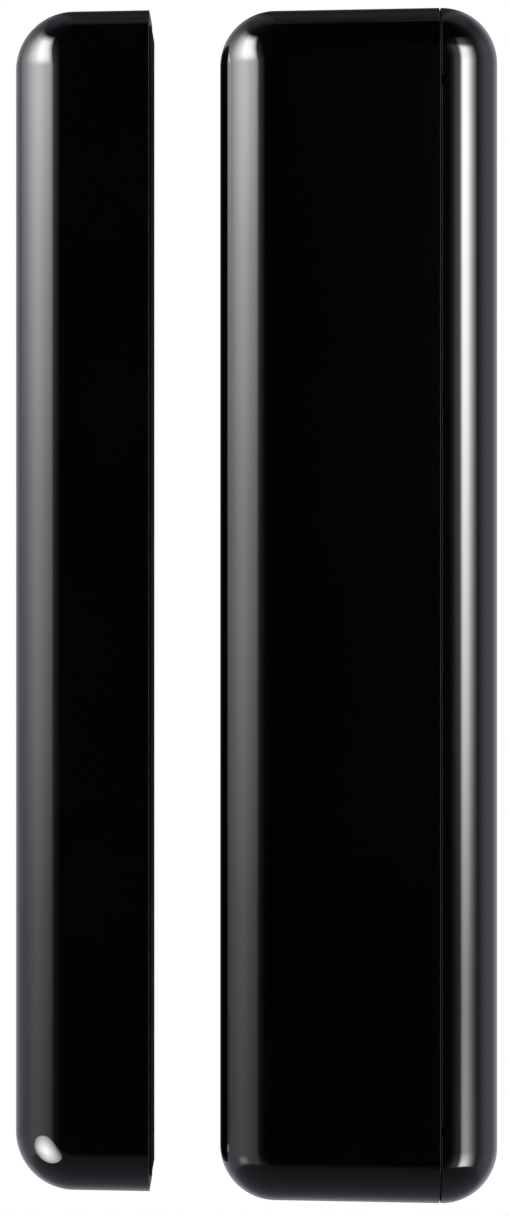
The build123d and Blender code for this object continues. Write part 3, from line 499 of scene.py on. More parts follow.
sensor_pad = foam_piece("sensor_pad", "sensor_adhesive_pad", "sensor", "adhesive_foam", "y", 2.0)
magnet_pad = foam_piece("magnet_pad", "magnet_adhesive_pad", "magnet_unit", "adhesive_foam", "y", 2.0)
foam_strip = foam_piece("magnet_foam_strip", "magnet_foam", "magnet_unit", "magnet_foam", "x", 0.6)


# ---- Battery ----

cell_low, cell_high = corners("battery_can")
CELL = ((cell_low[0] + cell_high[0]) / 2, MID_Y, 0)
NUB = cell_high[2]
SHOULDER = NUB - 1.0
foot = cell_low[2]
can_profile = [
    (0, foot + 0.12), (6.2, foot + 0.12), (6.5, foot), *bend((7.78, foot + 0.6), 0.6, -90, 0),
    (8.38, SHOULDER - 3.4), (8.2, SHOULDER - 3.1), (8.2, SHOULDER - 2.8), (8.38, SHOULDER - 2.5),
    *bend((7.78, SHOULDER - 0.6), 0.6, 0, 90), (5.6, SHOULDER), (5.45, SHOULDER - 0.15), (3.5, SHOULDER - 0.15),
    (3.2, SHOULDER), *bend((2.8, NUB - 0.4), 0.4, 0, 90), (0, NUB)]
cell = new_piece("cell_can", *lathe(can_profile, CELL, ALONG_Z, 96), "sensor", "cell_can", ["battery_can"])
sleeve_low, sleeve_high = corners("battery_sleeve")
low, high = sleeve_low[2], sleeve_high[2]
sleeve_profile = [(8.42, low), (8.47, low), (8.5, low + 0.1), (8.5, high - 0.5), (8.49, high - 0.2), (8.45, high),
                  (8.41, high), (8.41, high - 0.2), (8.41, low + 0.3)]
sleeve = new_piece("cell_sleeve", *lathe(sleeve_profile, CELL, ALONG_Z, 128, True), "sensor", "cell_sleeve",
                   ["battery_sleeve"])
contact_top = corners("battery_negative_contact")[1][2]
spring_path = helix(CELL, 4.6, contact_top + 0.35, cell_low[2] - 0.37, 2.5, "z", 0.0, 2.07)
cell_spring = new_piece("cell_spring", *tube(spring_path, 0.35), "sensor", "spring_steel", ["battery_spring"])


# ---- Reed switch and aerial ----

glass_low, glass_high = corners("reed_glass")
REED = ((glass_low[0] + glass_high[0]) / 2, (glass_low[1] + glass_high[1]) / 2, 0)
low, high = glass_low[2], glass_high[2]
glass_profile = [
    (0.27, low), *bend((0.4, low + 0.9), 0.9, -90, 0, 10), *bend((0.4, high - 0.9), 0.9, 0, 90, 10), (0.27, high),
    (0.27, high - 1.3), *bend((0.35, high - 1.9), 0.6, 90, 0, 8), *bend((0.35, low + 1.9), 0.6, 0, -90, 8),
    (0.27, low + 1.3)]
glass = new_piece("reed_tube", *lathe(glass_profile, REED, ALONG_Z, 64, True), "sensor", "reed_glass", ["reed_glass"])

coil_low, coil_high = corners("aerial")
AERIAL = (coil_high[0] - 2.45, -17.5)
COIL_Z = (37.5, 47.5)
coil_path = helix(AERIAL, 2.1, *COIL_Z, 8, "z", math.pi, None, 40)[3:]
start, corner = (Vector((AERIAL[0] - out, AERIAL[1], COIL_Z[0])) for out in (2.9, 2.1))
end = Vector(coil_path[0])
knee = [start * (1 - s) ** 2 + corner * 2 * s * (1 - s) + end * s * s for s in np.linspace(0, 1, 9)[:-1]]
leg = [(x, AERIAL[1], COIL_Z[0]) for x in np.linspace(coil_low[0] + 0.1, start[0], 6)[:-1]]
aerial_wire = new_piece("aerial_wire", *tube([*leg, *knee, *coil_path], 0.35), "sensor", "aerial_copper", ["aerial"])


# ---- Tamper switch ----

head_low, head_high = corners("tamper_plunger")
head_x = head_high[0] - 0.8
plunger_profile = [
    (0, head_low[0]), (1.05, head_low[0]), (1.2, head_low[0] + 0.15), (1.2, head_x - 0.1), (1.3, head_x), (2.0, head_x),
    (2.1, head_x + 0.1), *bend((1.8, head_high[0] - 0.3), 0.3, 0, 78, 5), (1.0, head_high[0]), (0, head_high[0])]
plunger = new_piece("plunger", *lathe(plunger_profile, (0, *TAMPER), ALONG_X, 64), "tamper_plunger", "plunger_white",
                    ["tamper_plunger"])
body_top = corners("tamper_switch_body")[1][0]
coil_span = (body_top + 0.18, head_x - 0.18)
tamper_coil = new_piece("tamper_coil", *tube(helix(TAMPER, 1.6, *coil_span, 3, "x", 0.0, None, 40), 0.15, 10), None,
                        "spring_steel", ["tamper_spring"])
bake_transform(tamper_coil)


# ---- Small parts on the board ----

CHIP, CAPACITOR, BUTTON, LED = (-17.0, 8.0), (-17.0, 32.0), (-19.0, -6.8), (-6.0, -6.6)     # middles, as (y, z)
CAN_FOOT, CAN_TOP = BOARD_FACE + 1.0, corners("bulk_capacitor")[1][0]
ENDS = (-1, 1)


def above(low, high):
    """A span along X, measured from the board's face."""
    return BOARD_FACE + low, BOARD_FACE + high


neck = [(3.0 - 0.3 * math.sin(a), BOARD_FACE + 2.0 - 0.35 * math.cos(a)) for a in np.linspace(0, math.pi, 9)]
can_shape = [(0, CAN_FOOT - 0.05), (2.8, CAN_FOOT - 0.05), (3.0, CAN_FOOT + 0.1), *neck,
             *bend((2.5, CAN_TOP - 0.5), 0.5, 0, 90, 8), (1.9, CAN_TOP - 0.04), (0, CAN_TOP - 0.04)]
capacitor = new_piece("capacitor_can", *lathe(can_shape, (0, *CAPACITOR), ALONG_X, 80), "sensor", "capacitor_can",
                      ["bulk_capacitor"])
foot_shape = [(CAPACITOR[0] + y, CAPACITOR[1] + z)
              for y, z in ((-3.2, -3.2), (3.2, -3.2), (3.2, 2.2), (2.2, 3.2), (-2.2, 3.2), (-3.2, 2.2))]
capacitor_foot = new_piece("capacitor_foot", *slab(foot_shape, (BOARD_FACE, CAN_FOOT), 0.12, "x"), "sensor",
                           "capacitor_can")

UPRIGHT = ((-12.3, 5.0), (-12.3, 8.0), (-12.3, 11.0), (-12.6, 19.0), (-12.6, 22.0), (-12.6, 25.0))
LEVEL = ((-18.5, 0.6), (-15.5, 0.6), (-6.0, 0.2), (-5.6, 28.8), (-9.0, 30.4), (-18.0, 26.6), (-15.0, 26.6))


def chip_part(y, z, upright):
    """Body and two wrap-round end caps of one small part, 1.6 mm by 0.8 mm."""
    def block(along, half, x, edge):
        long, wide = (z, y) if upright else (y, z)
        spans = [(wide - half, wide + half), (long + along[0], long + along[1])]
        return brick(x, *(spans if upright else spans[::-1]), edge, edge, 2)
    body = block((-0.65, 0.65), 0.38, above(0.05, 0.5), 0.04)
    return body, [block(along, 0.4, above(0.01, 0.53), 0.06) for along in ((-0.8, -0.42), (0.42, 0.8))]


parts = [chip_part(*spot, spot in UPRIGHT) for spot in UPRIGHT + LEVEL]
part_bodies = new_piece("chip_part_bodies", *merge([body for body, _ in parts]), "sensor", "chip_part_ceramic",
                        ["chip_parts"])
part_caps = new_piece("chip_part_caps", *merge([cap for _, caps in parts for cap in caps]), "sensor",
                      "chip_part_ceramic")


# ---- Copper, solder and printing on the board ----

SINK = 0.05                     # how far all of it reaches into the board
TRACE_TOP, PRINT_TOP = BOARD_FACE + 0.03, BOARD_FACE + 0.045
TRACE_WIDTH, POWER_WIDTH, PRINT_WIDTH = 0.26, 0.9, 0.16
PIN = 0.65                      # distance between the chip's pins


def ribbon(path, width, top):
    """Flat strip along a line of (y, z) points on the board."""
    path = [Vector(p) for p in path]
    low, high, rings = BOARD_FACE - SINK, top, []
    for i, place in enumerate(path):
        before = (place - path[i - 1]).normalized() if i else None
        after = (path[i + 1] - place).normalized() if i < len(path) - 1 else None
        along = ((before or after) + (after or before)).normalized()
        side = Vector((-along.y, along.x)) * (width / 2 / max(0.5, along.dot(before or after)))
        rings.append([(low, *(place + side)), (low, *(place - side)), (high, *(place - side)), (high, *(place + side))])
    return stack(rings)


def disc(y, z, radius, top, hole=0.0):
    """Round pad, with a shallow dimple where a via goes through."""
    middle = [(0, top - 0.02)] if hole else [(0, top)]
    rim = [(hole, top - 0.02), (hole + 0.03, top)] if hole else []
    profile = [(0, BOARD_FACE - SINK), (radius, BOARD_FACE - SINK), (radius, top - 0.005), (radius - 0.01, top)]
    return lathe(profile + rim[::-1] + middle, (0, y, z), ALONG_X, 28)


def pad(y, z, size, height, corner, edge, steps=3):
    """Soldered pad."""
    return brick(above(-SINK, height), around(y, size[0]), around(z, size[1]), corner, edge, steps)


# Paths of the traces as y,z points, with a slash between two paths
TRACE_TEXT = """
-13,5.72 -12.3,5.72 / -12.3,4.4 -11.6,3.9 -10.4,3.9 / -13,8.33 -12.3,8.33 /
-12.3,7.3 -11.3,6.4 -8.4,6.4 -6.6,4.6 -6.6,0.3 / -12.3,11.6 -11.6,12.4 -11.6,24.4 -10.4,25.8 /
-13,8.98 -8.6,8.98 -5.4,5.8 -5.4,-5 / -13,9.63 -7.6,9.63 -5,12.2 -5,28.6 /
-13,10.28 -8,10.28 -6.4,11.9 -6.4,28.2 / -6.4,29 -7.4,30 -8.2,30.4 / -9.8,30.4 -10.6,31.2 -10.6,34.4 /
-5,29 -5,33.2 -5.6,34.4 / -19.27,4 -19.27,0.7 / -17.97,4 -17.97,2.4 -17.8,0.7 /
-16.67,4 -16.3,2.6 -16.3,0.8 / -16,4 -16,3 -14.8,1.8 -14.8,0.8 / -15.37,4 -14.1,2.7 -14.1,-3.4 -15.6,-4.9 /
-14.72,4 -13.2,2.5 -13.2,-3.6 / -19.2,0.2 -19.9,-0.5 -19.9,-4.4 / -17.8,0.2 -17.8,-4.4 /
-21,5.72 -21.9,6.6 -21.9,19.2 -20.6,20.5 -19.6,20.5 / -21,6.38 -21.5,6.9 -21.5,20 -20.3,21.2 -19.6,21.2 /
-21,7.03 -21.1,7.1 -21.1,20.8 -20,21.9 -19.6,21.9 / -17.97,12 -17.97,13.2 -18.7,14 -18.7,14.8 /
-16,12 -16,13.2 -15.3,13.9 -15.3,14.8 / -17,25 -17,25.7 -17.3,26.5 / -15.7,25 -15.7,26.4 /
-14.3,26.6 -13,27.9 -13,35 -15.4,37.4 -17.2,37.5 / -18.7,26.8 -20.8,28.9 -20.8,36 -21.4,36.6 -21.4,50.4 /
-12.6,18.3 -13.4,17.6 -14.4,17.6 / -12.6,20 -12.6,21.2 / -12.6,23 -12.6,24.2 /
-14.5,22.5 -13.6,22.5 -13,21.9 / -14.5,23.8 -13,24.6 / -9.6,26 -8.2,27.4 -8.2,29.8 /
-21.4,50.4 -20.6,51.2 -12,51.2 / -4.2,-2 -4.2,44 -5.2,45"""
VIAS, VIA_SPACING, SCREW_CLEARANCE = 64, 1.5, 2.6
vias = [(-20.4, 13.4), (-13.9, 13.2), (-11.6, 15.0), (-8.9, 6.4), (-13.2, -3.6), (-19.9, -2.1), (-21.4, 44.0),
        (-13.0, 30.5), (-4.2, 20.0)]
random.seed(7)
while len(vias) < VIAS:
    spot = (random.uniform(-22.0, -4.0), random.uniform(-9.5, 51.6))
    apart = min(math.dist(spot, other) for other in vias)
    if apart > VIA_SPACING and min(math.dist(spot, hole) for hole in SCREWS) > SCREW_CLEARANCE:
        vias.append(spot)
POWER = ([(-17, 29.0), (-17, 27.6), (-19.5, 27.6)], [(-8, 41.3), (-8, 43.6), (-11.5, 43.6), (-11.5, 50.4)],
         [(-16.9, -9.4), (-9.2, -9.4), (-5.0, -9.4)])
strips = [ribbon([tuple(map(float, point.split(","))) for point in path.split()], TRACE_WIDTH, TRACE_TOP)
          for path in TRACE_TEXT.split("/")]
strips += [ribbon(path, POWER_WIDTH, TRACE_TOP - 0.004) for path in POWER]
traces = new_piece("board_traces", *merge(strips), "sensor", "board_laminate", smooth=False)

# Pairs of pads: middle, half the distance between the two, size, height, corner and edge radius
PAIRS = (
    (CAPACITOR, (0, 3.35), (1.5, 1.3), 0.12, 0.2, 0.1),
    *(((TAMPER[0], TAMPER[1] + z), (2.3, 0), (1.4, 1.2), 0.1, 0.2, 0.08) for z in (-3.6, 3.6)),
    *(((BUTTON[0], BUTTON[1] + z), (1.5, 0), (0.9, 1.1), 0.1, 0.15, 0.08) for z in (2.75, -2.75)),
    (LED, (0, 1.1), (1.2, 0.7), 0.08, 0.12, 0.06),
)
pads = [disc(y, z, 0.3, TRACE_TOP + 0.004, 0.13) for y, z in vias]
pads += [pad(y, z + s * 0.72, (0.96, 0.66), 0.05, 0.1, 0.03, 2) for y, z in UPRIGHT for s in ENDS]
pads += [pad(y + s * 0.72, z, (0.66, 0.96), 0.05, 0.1, 0.03, 2) for y, z in LEVEL for s in ENDS]
for k in range(8):
    along = (k - 3.5) * PIN
    for s in ENDS:
        pads.append(pad(CHIP[0] + s * 3.7, CHIP[1] + along, (1.0, 0.34), 0.03, 0.06, 0.02, 2))
        pads.append(pad(CHIP[0] + along, CHIP[1] + s * 3.7, (0.34, 1.0), 0.03, 0.06, 0.02, 2))
for s in ENDS:
    pads += [pad(y + s * dy, z + s * dz, *rest) for (y, z), (dy, dz), *rest in PAIRS]
cone = [(radius, BOARD_FACE + height) for radius, height in (
    (0, -SINK), (0.85, -SINK), (0.82, 0.04), (0.6, 0.12), (0.45, 0.3), (0.36, 0.5), (0.3, 0.52), (0, 0.52))]
joints = [lathe(cone, (0, REED[1], z), ALONG_X, 32) for z in (4.0, 26.0)]
joints.append(lathe([(r * 1.15, h) for r, h in cone], (0, AERIAL[1], COIL_Z[0]), ALONG_X, 32))
solder = new_piece("board_pads", *merge(pads + joints), "sensor", "contact_nickel")
crisp(solder, 40)

# Corner marks round a part: middle, half size, length of the two ticks
CORNER_MARKS = ((CHIP, (4.7, 4.7), (1.1, 1.1)), (CAPACITOR, (3.6, 3.6), (1.6, 1.6)), (TAMPER, (3.7, 4.5), (1.0, 1.6)))
marks = []
for a in ENDS:
    for b in ENDS:
        for middle, half, (tick_y, tick_z) in CORNER_MARKS:
            y, z = middle[0] + a * half[0], middle[1] + b * half[1]
            marks.append([(y, z - b * tick_z), (y, z), (y - a * tick_y, z)])
marks += [[(-8.2, 6.9), (-8.2, 23.1)], [(-11.8, 6.9), (-11.8, 10.4)], [(-20.2, 13.9), (-20.2, 18.5)],
          [(-13.8, 13.9), (-13.8, 18.5)], [(-6.9, -4.8), (-5.1, -4.8)], [(-16.2, -9.6), (-16.2, -4.0)],
          [(-21.9, -9.6), (-21.9, -4.0)]]
prints = [ribbon(path, PRINT_WIDTH, PRINT_TOP) for path in marks] + [disc(-21.8, 12.6, 0.35, PRINT_TOP)]
printing = new_piece("board_printing", *merge(prints), "sensor", "board_laminate", smooth=False)
for piece in (cell, sleeve, capacitor, capacitor_foot, plunger, part_bodies, part_caps):
    crisp(piece, 40)


# ---- Materials ----

class Graph:
    """A node tree, built call by call. A node stands for its first output, and (node, output) for another."""

    def __init__(self, owner):
        owner.use_nodes = True
        self.tree = owner.node_tree
        self.tree.nodes.clear()

    def node(self, kind, inputs=(), **values):
        made = settle(self.tree.nodes.new(kind), **values)
        for socket, thing in dict(inputs).items():
            self.put(made, socket, thing)
        return made

    def put(self, target, socket, thing):
        """Link a node's output to a socket, or set a plain number, vector or colour."""
        if isinstance(thing, bpy.types.Node):
            thing = (thing, 0)
        if isinstance(thing, tuple) and isinstance(thing[0], bpy.types.Node):
            self.tree.links.new(thing[0].outputs[thing[1]], target.inputs[socket])
        else:
            target.inputs[socket].default_value = thing

    def math(self, operation, a, b=0.0):
        return self.node("ShaderNodeMath", {0: a, 1: b}, operation=operation)


class Look(Graph):
    """A material round one principled shader."""

    def __init__(self, name, **inputs):
        self.material = bpy.data.materials.new(name)
        super().__init__(self.material)
        self.shader = self.node("ShaderNodeBsdfPrincipled")
        self.node("ShaderNodeOutputMaterial", {"Surface": self.shader})
        self.place = (self.node("ShaderNodeTexCoord"), "Object")
        self.split = self.node("ShaderNodeSeparateXYZ", {0: self.place})
        self.set(**inputs)

    def set(self, **inputs):
        for key, value in inputs.items():
            self.put(self.shader, key.replace("_", " "), value)

    def fed(self, socket):
        """The node that feeds a socket of the shader."""
        return self.shader.inputs[socket].links[0].from_node

    def mapped(self, scale=(1, 1, 1), turn=(0, 0, 0)):
        return self.node("ShaderNodeMapping", {"Vector": self.place, "Scale": scale, "Rotation": turn})

    def noise(self, scale, detail, rough=0.5, at=None):
        inputs = {"Vector": at or self.mapped(), "Scale": scale, "Detail": detail, "Roughness": rough}
        return self.node("ShaderNodeTexNoise", inputs)

    def cells(self, scale):
        return self.node("ShaderNodeTexVoronoi", {"Vector": self.mapped(), "Scale": scale})

    def axis(self, index):
        """One of the piece's own coordinates, in metres."""
        return self.split, index

    def span(self, source, low, high, out_low=0.0, out_high=1.0, smooth=True):
        """A node's value, rescaled from one range to another."""
        inputs = {"Value": source, "From Min": low, "From Max": high, "To Min": out_low, "To Max": out_high}
        return self.node("ShaderNodeMapRange", inputs, interpolation_type="SMOOTHSTEP" if smooth else "LINEAR")

    def mix(self, share, *ends):
        """A node that mixes two colours, each a plain one or from another mix."""
        a, b = (end if isinstance(end[0], bpy.types.Node) else (*end, 1.0) for end in ends)
        return self.node("ShaderNodeMix", {0: share, 6: a, 7: b}, data_type="RGBA"), 2

    def bump(self, height, strength, distance, before=None):
        inputs = {"Height": height, "Strength": strength, "Distance": distance}
        return self.node("ShaderNodeBump", inputs | ({"Normal": before} if before else {}))


def scaled(tint, factor):
    return tuple(c * factor for c in tint)


GLOSS_TINT, GLOSS_HAZE = (0.0004, 0.0004, 0.0005), 0.055
MATTE_TINT = (0.003, 0.0028, 0.0035)
BAND_EDGE = 0.00002             # metres over which a band fades out


def gloss_look():
    """High-gloss black plastic: faint waviness, hairlines and specks under a clear top."""
    look = Look("gloss_black", IOR=1.5, Coat_Weight=1.0, Coat_Roughness=0.02, Coat_IOR=1.5)
    cloud = look.noise(90, 4, 0.6)
    look.set(Base_Color=look.mix(cloud, GLOSS_TINT, scaled(GLOSS_TINT, 1.9)))
    hair = look.noise(30, 8, 0.75, look.mapped((26, 26, 1.2), (0.35, 0.6, 0.2)))
    scuff = look.span(hair, 0.60, 0.72, 0.0, 0.06)
    look.set(Roughness=look.math("ADD", scuff, look.span(cloud, 0.3, 0.7, GLOSS_HAZE * 0.8, GLOSS_HAZE * 1.2)))
    wavy = look.bump(look.noise(55, 2, 0.4), 0.05, 0.0004)
    look.set(Normal=look.bump(look.noise(1600, 2, 0.5), 0.02, 0.00002, wavy), Coat_Normal=wavy)
    return look


def matte_look():
    """Fine spark-eroded texture on black plastic."""
    look = Look("matte_black_plate", Specular_IOR_Level=0.01)
    patch = look.noise(60, 3, 0.5)
    look.set(Base_Color=look.mix(patch, MATTE_TINT, scaled(MATTE_TINT, 1.7)))
    look.set(Normal=look.bump(look.noise(2600, 3, 0.6), 0.5, 0.00004))
    look.set(Roughness=look.span(patch, 0.3, 0.7, 0.55, 0.7))
    return look


def dull(name, tint, rough, grain=1400, depth=0.25, shine=0.4, patchy=0.35):
    """Moulded plastic, resin or rubber: patchy tone, fine grain, uneven sheen."""
    look = Look(name, Specular_IOR_Level=shine)
    patch = look.noise(140, 4, 0.6)
    look.set(Base_Color=look.mix(patch, scaled(tint, 1 - patchy), scaled(tint, 1 + patchy)))
    look.set(Roughness=look.span(patch, 0.3, 0.7, rough * 0.85, rough * 1.15))
    look.set(Normal=look.bump(look.noise(grain, 3, 0.6), depth, 0.00003))
    return look


def metal(name, tint, rough, stretch=(1, 1, 1), depth=0.12, worn=0.3):
    """Metal with drawn or brushed grain and slightly tarnished patches."""
    look = Look(name, Metallic=1.0)
    patch = look.noise(220, 5, 0.65)
    lines = look.noise(900, 4, 0.7, look.mapped(stretch))
    look.set(Base_Color=look.mix(patch, tint, scaled(tint, 1 - worn)))
    tarnish = look.span(patch, 0.4, 0.8, 0.0, 0.12)
    look.set(Roughness=look.math("ADD", look.span(lines, 0.3, 0.7, rough * 0.6, rough), tarnish))
    look.set(Normal=look.bump(lines, depth, 0.00001))
    return look


def foam(name, tint):
    """Closed-cell foam: open cells on the cut sides with painted shade in their hollows, and a dusty surface."""
    look = Look(name, Roughness=0.92, Specular_IOR_Level=0.15)
    clumps = look.span(look.noise(700, 4, 0.65), 0.35, 0.65, 0.0, 0.3)
    soft = look.math("ADD", look.span(look.cells(2600), 0.0, 0.6, 0.0, 0.7), clumps)
    # Base colour: painted shade, darker where the cells dip; the lighter raised clumps are dust
    look.set(Base_Color=look.mix(soft, scaled(tint, 0.5), tint))
    look.set(Normal=look.bump(soft, 0.8, 0.00008))
    return look


def band(look, source, low, high):
    """1 where a value lies between two levels."""
    falls = look.span(source, high - BAND_EDGE, high + BAND_EDGE, 1.0, 0.0)
    return look.math("MULTIPLY", look.span(source, low - BAND_EDGE, low + BAND_EDGE), falls)


def two_tone(look, mask, tint, metallic, rough):
    """A second finish where the mask is 1."""
    second = look.mix(look.noise(600, 3), tint, scaled(tint, 0.75))
    look.set(Base_Color=look.mix(mask, (look.fed("Base Color"), 2), second))
    look.set(Metallic=look.math("MULTIPLY", mask, metallic))
    kept = look.math("MULTIPLY", look.fed("Roughness"), look.span(mask, 0, 1, 1, 0, False))
    look.set(Roughness=look.math("ADD", kept, look.math("MULTIPLY", mask, rough)))


def insulated(look, mask, tint):
    """Dark and no longer metallic where the mask is 1."""
    look.set(Base_Color=look.mix(mask, (look.fed("Base Color"), 2), tint))
    look.set(Metallic=look.span(mask, 0, 1, 1.0, 0.0))


TIN = (0.62, 0.61, 0.58)
CREAM = (0.62, 0.60, 0.55)
FAR_OUT = 0.01                  # a level in metres beyond every part on the board
CHIP_HALF = 3.02                # from the chip's middle to where its leads begin


def board_look():
    """Green solder mask over glass cloth, with bare laminate at the cut edges."""
    look = dull("board_laminate", (0.006, 0.075, 0.032), 0.28, 2600, 0.1, 0.5, 0.12)
    weave = look.node("ShaderNodeTexWave", {"Vector": look.mapped((0, 1, 1)), "Scale": 900})
    look.set(Normal=look.bump(weave, 0.06, 0.00002))
    core = band(look, look.axis(0), (BOARD_BACK + 0.06) * MM, (BOARD_FACE - 0.06) * MM)
    two_tone(look, core, (0.42, 0.36, 0.16), 0.0, 0.75)
    return look


def chip_look():
    """Moulded resin body with tinned leads outside its square."""
    look = dull("chip_resin", (0.016, 0.016, 0.018), 0.55, 1800, 0.5, 0.35)
    far = []
    for socket, centre in zip((1, 2), CHIP):
        offset = look.math("ABSOLUTE", look.math("SUBTRACT", look.axis(socket), centre * MM))
        far.append(look.span(offset, (CHIP_HALF - 0.01) * MM, (CHIP_HALF + 0.01) * MM))
    two_tone(look, look.math("MAXIMUM", *far), TIN, 1.0, 0.25)
    return look


def layered(look, low, high, tint, metallic, rough, index=0):
    """A second finish between two levels on one axis, in metres."""
    two_tone(look, band(look, look.axis(index), low, high), tint, metallic, rough)
    return look


def sleeve_look():
    """Shrunk film: slate body, one pale band near the positive end and a thin line; nothing printed."""
    look = dull("cell_sleeve", (0.035, 0.085, 0.12), 0.24, 500, 0.12, 0.5, 0.1)
    for low, high in ((-0.0215, -0.0141), (-0.0232, -0.0224)):
        layered(look, low, high, CREAM, 0.0, 0.25, 2)
    return look


def can_look():
    """Nickel-plated steel with a black insulating ring inside the rolled edge."""
    look = metal("cell_can", (0.66, 0.65, 0.62), 0.28, (1, 1, 12))
    squares = [look.math("POWER", look.math("SUBTRACT", look.axis(k), CELL[k] * MM), 2.0) for k in (0, 1)]
    radius = look.math("SQRT", look.math("ADD", *squares))
    top = look.span(look.axis(2), (SHOULDER - 0.3) * MM, (SHOULDER - 0.25) * MM)
    ring = look.math("MULTIPLY", band(look, radius, 0.00342, 0.00552), top)
    insulated(look, ring, (0.012, 0.012, 0.013))
    return look


def capacitor_look():
    """Aluminium can with a dark polarity segment on its top."""
    look = metal("capacitor_can", (0.78, 0.78, 0.79), 0.3, (12, 1, 1))
    top = look.span(look.axis(0), (CAN_TOP - 0.3) * MM, (CAN_TOP - 0.2) * MM)
    side = look.span(look.axis(2), (CAPACITOR[1] - 1.5) * MM, (CAPACITOR[1] - 1.45) * MM, 1.0, 0.0)
    insulated(look, look.math("MULTIPLY", top, side), (0.012, 0.013, 0.02))
    return look


def glass_look():
    look = Look("reed_glass", Transmission_Weight=1.0, IOR=1.5, Specular_IOR_Level=0.5)
    haze = look.noise(500, 3, 0.5)
    look.set(Base_Color=look.mix(haze, (0.80, 0.95, 0.84), (0.90, 0.98, 0.92)))
    look.set(Roughness=look.span(haze, 0.4, 0.8, 0.0, 0.06))
    return look


def copper_look():
    look = metal("aerial_copper", (0.72, 0.30, 0.13), 0.22, (1, 1, 1), 0.05, 0.2)
    look.set(Coat_Weight=0.7, Coat_Roughness=0.08, Coat_Tint=(1.0, 0.72, 0.5, 1.0))
    return look


def ceramic_look():
    """Brown capacitors and black resistors, told apart by where they stand."""
    look = dull("chip_part_ceramic", (0.21, 0.12, 0.065), 0.5, 1500, 0.2)
    share = look.node("ShaderNodeSeparateColor", {0: (look.cells(330), "Color")})
    look.set(Base_Color=look.mix(look.span((share, 0), 0.6, 0.62), (look.fed("Base Color"), 2), (0.014, 0.014, 0.015)))
    return look


def wear(mesh, *looks):
    for look in looks:
        mesh.materials.append(look.material)


black = gloss_look()
satin = dull("satin_black_inside", (0.011, 0.011, 0.012), 0.42, 900, 0.15, 0.35)
white_foam = foam("adhesive_foam", (0.62, 0.62, 0.60))
nickel = metal("contact_nickel", (0.68, 0.66, 0.6), 0.26, (1, 8, 1))
wire_steel = metal("spring_steel", (0.58, 0.57, 0.55), 0.24, (6, 6, 1))
tin = metal("solder_tin", TIN, 0.3, (1, 1, 1), 0.2, 0.25)
alloy = metal("reed_alloy", (0.6, 0.58, 0.53), 0.22, (4, 4, 1))
radio = dull("radio_chip_resin", (0.018, 0.018, 0.02), 0.5, 1800, 0.5, 0.35)
led = dull("led_lens", (0.75, 0.74, 0.68), 0.5, 900, 0.1)
switch = dull("switch_black", (0.014, 0.014, 0.015), 0.4)
LENS_FOOT = (BOARD_FACE + 0.42) * MM
STAMPED_FOOT = (corners("pairing_switch_body")[1][0] - 0.35) * MM

for shell in (housing, cover, magnet_shell):
    wear(shell.data, black, satin)
# CAD parts that are shown as they are: width of the softened edges, and look
CAD_PARTS = {
    "board_screws": (0.06, metal("screw_steel", (0.52, 0.51, 0.49), 0.3)),
    "crystal": (0.03, metal("crystal_can", (0.7, 0.69, 0.66), 0.24, (1, 10, 1))),
    "battery_positive_contact": (0.06, nickel), "battery_negative_contact": (0.06, nickel),
    "reed_fixed_blade": (0.02, alloy), "reed_upper_lead": (0.02, alloy), "reed_moving_blade": (0.02, alloy),
    "circuit_board": (0.08, board_look()), "microcontroller": (0.03, chip_look()),
    "radio_chip": (0.04, layered(radio, -FAR_OUT, (BOARD_FACE + 0.12) * MM, TIN, 1.0, 0.25)),
    "status_led": (0.05, layered(led, LENS_FOOT, FAR_OUT, (0.72, 0.78, 0.42), 0.0, 0.12)),
    "tamper_switch_body": (0.12, dull("tamper_switch_black", (0.014, 0.014, 0.016), 0.38, 1100, 0.3)),
    "pairing_switch_body": (0.1, layered(switch, STAMPED_FOOT, FAR_OUT, (0.6, 0.6, 0.58), 1.0, 0.28)),
    "pairing_button": (0.04, dull("button_black", (0.012, 0.012, 0.013), 0.35, 1100, 0.3)),
    "battery_holder": (0.18, dull("holder_black", (0.017, 0.017, 0.018), 0.52, 800, 0.45, 0.35)),
    "bar_magnet": (0.08, dull("magnet_ferrite", (0.035, 0.034, 0.033), 0.6, 1300, 0.6, 0.3)),
}
for node, (width, look) in CAD_PARTS.items():
    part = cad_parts[node]
    soften(part, width)
    part.data.materials.clear()
    wear(part.data, look)
for piece, look in (
    (plate, matte_look()), (sensor_pad, white_foam), (magnet_pad, white_foam),
    (foam_strip, foam("magnet_foam", (0.05, 0.05, 0.055))), (cell, can_look()), (sleeve, sleeve_look()),
    (cell_spring, wire_steel), (tamper_coil, wire_steel), (glass, glass_look()), (aerial_wire, copper_look()),
    (plunger, dull("plunger_white", (0.7, 0.69, 0.65), 0.4, 900, 0.15, 0.5, 0.06)), (capacitor, capacitor_look()),
    (capacitor_foot, dull("capacitor_foot_black", (0.013, 0.013, 0.014), 0.45)), (part_bodies, ceramic_look()),
    (part_caps, tin), (solder, tin),
    (traces, dull("board_copper_lines", (0.016, 0.15, 0.062), 0.25, 1800, 0.08, 0.5, 0.12)),
    (printing, dull("board_print", (0.72, 0.72, 0.68), 0.7, 1200, 0.2, 0.2, 0.1)),
):
    wear(piece.data, look)


# ---- Light, floor and camera ----

LIGHT_LEVEL = 0.52
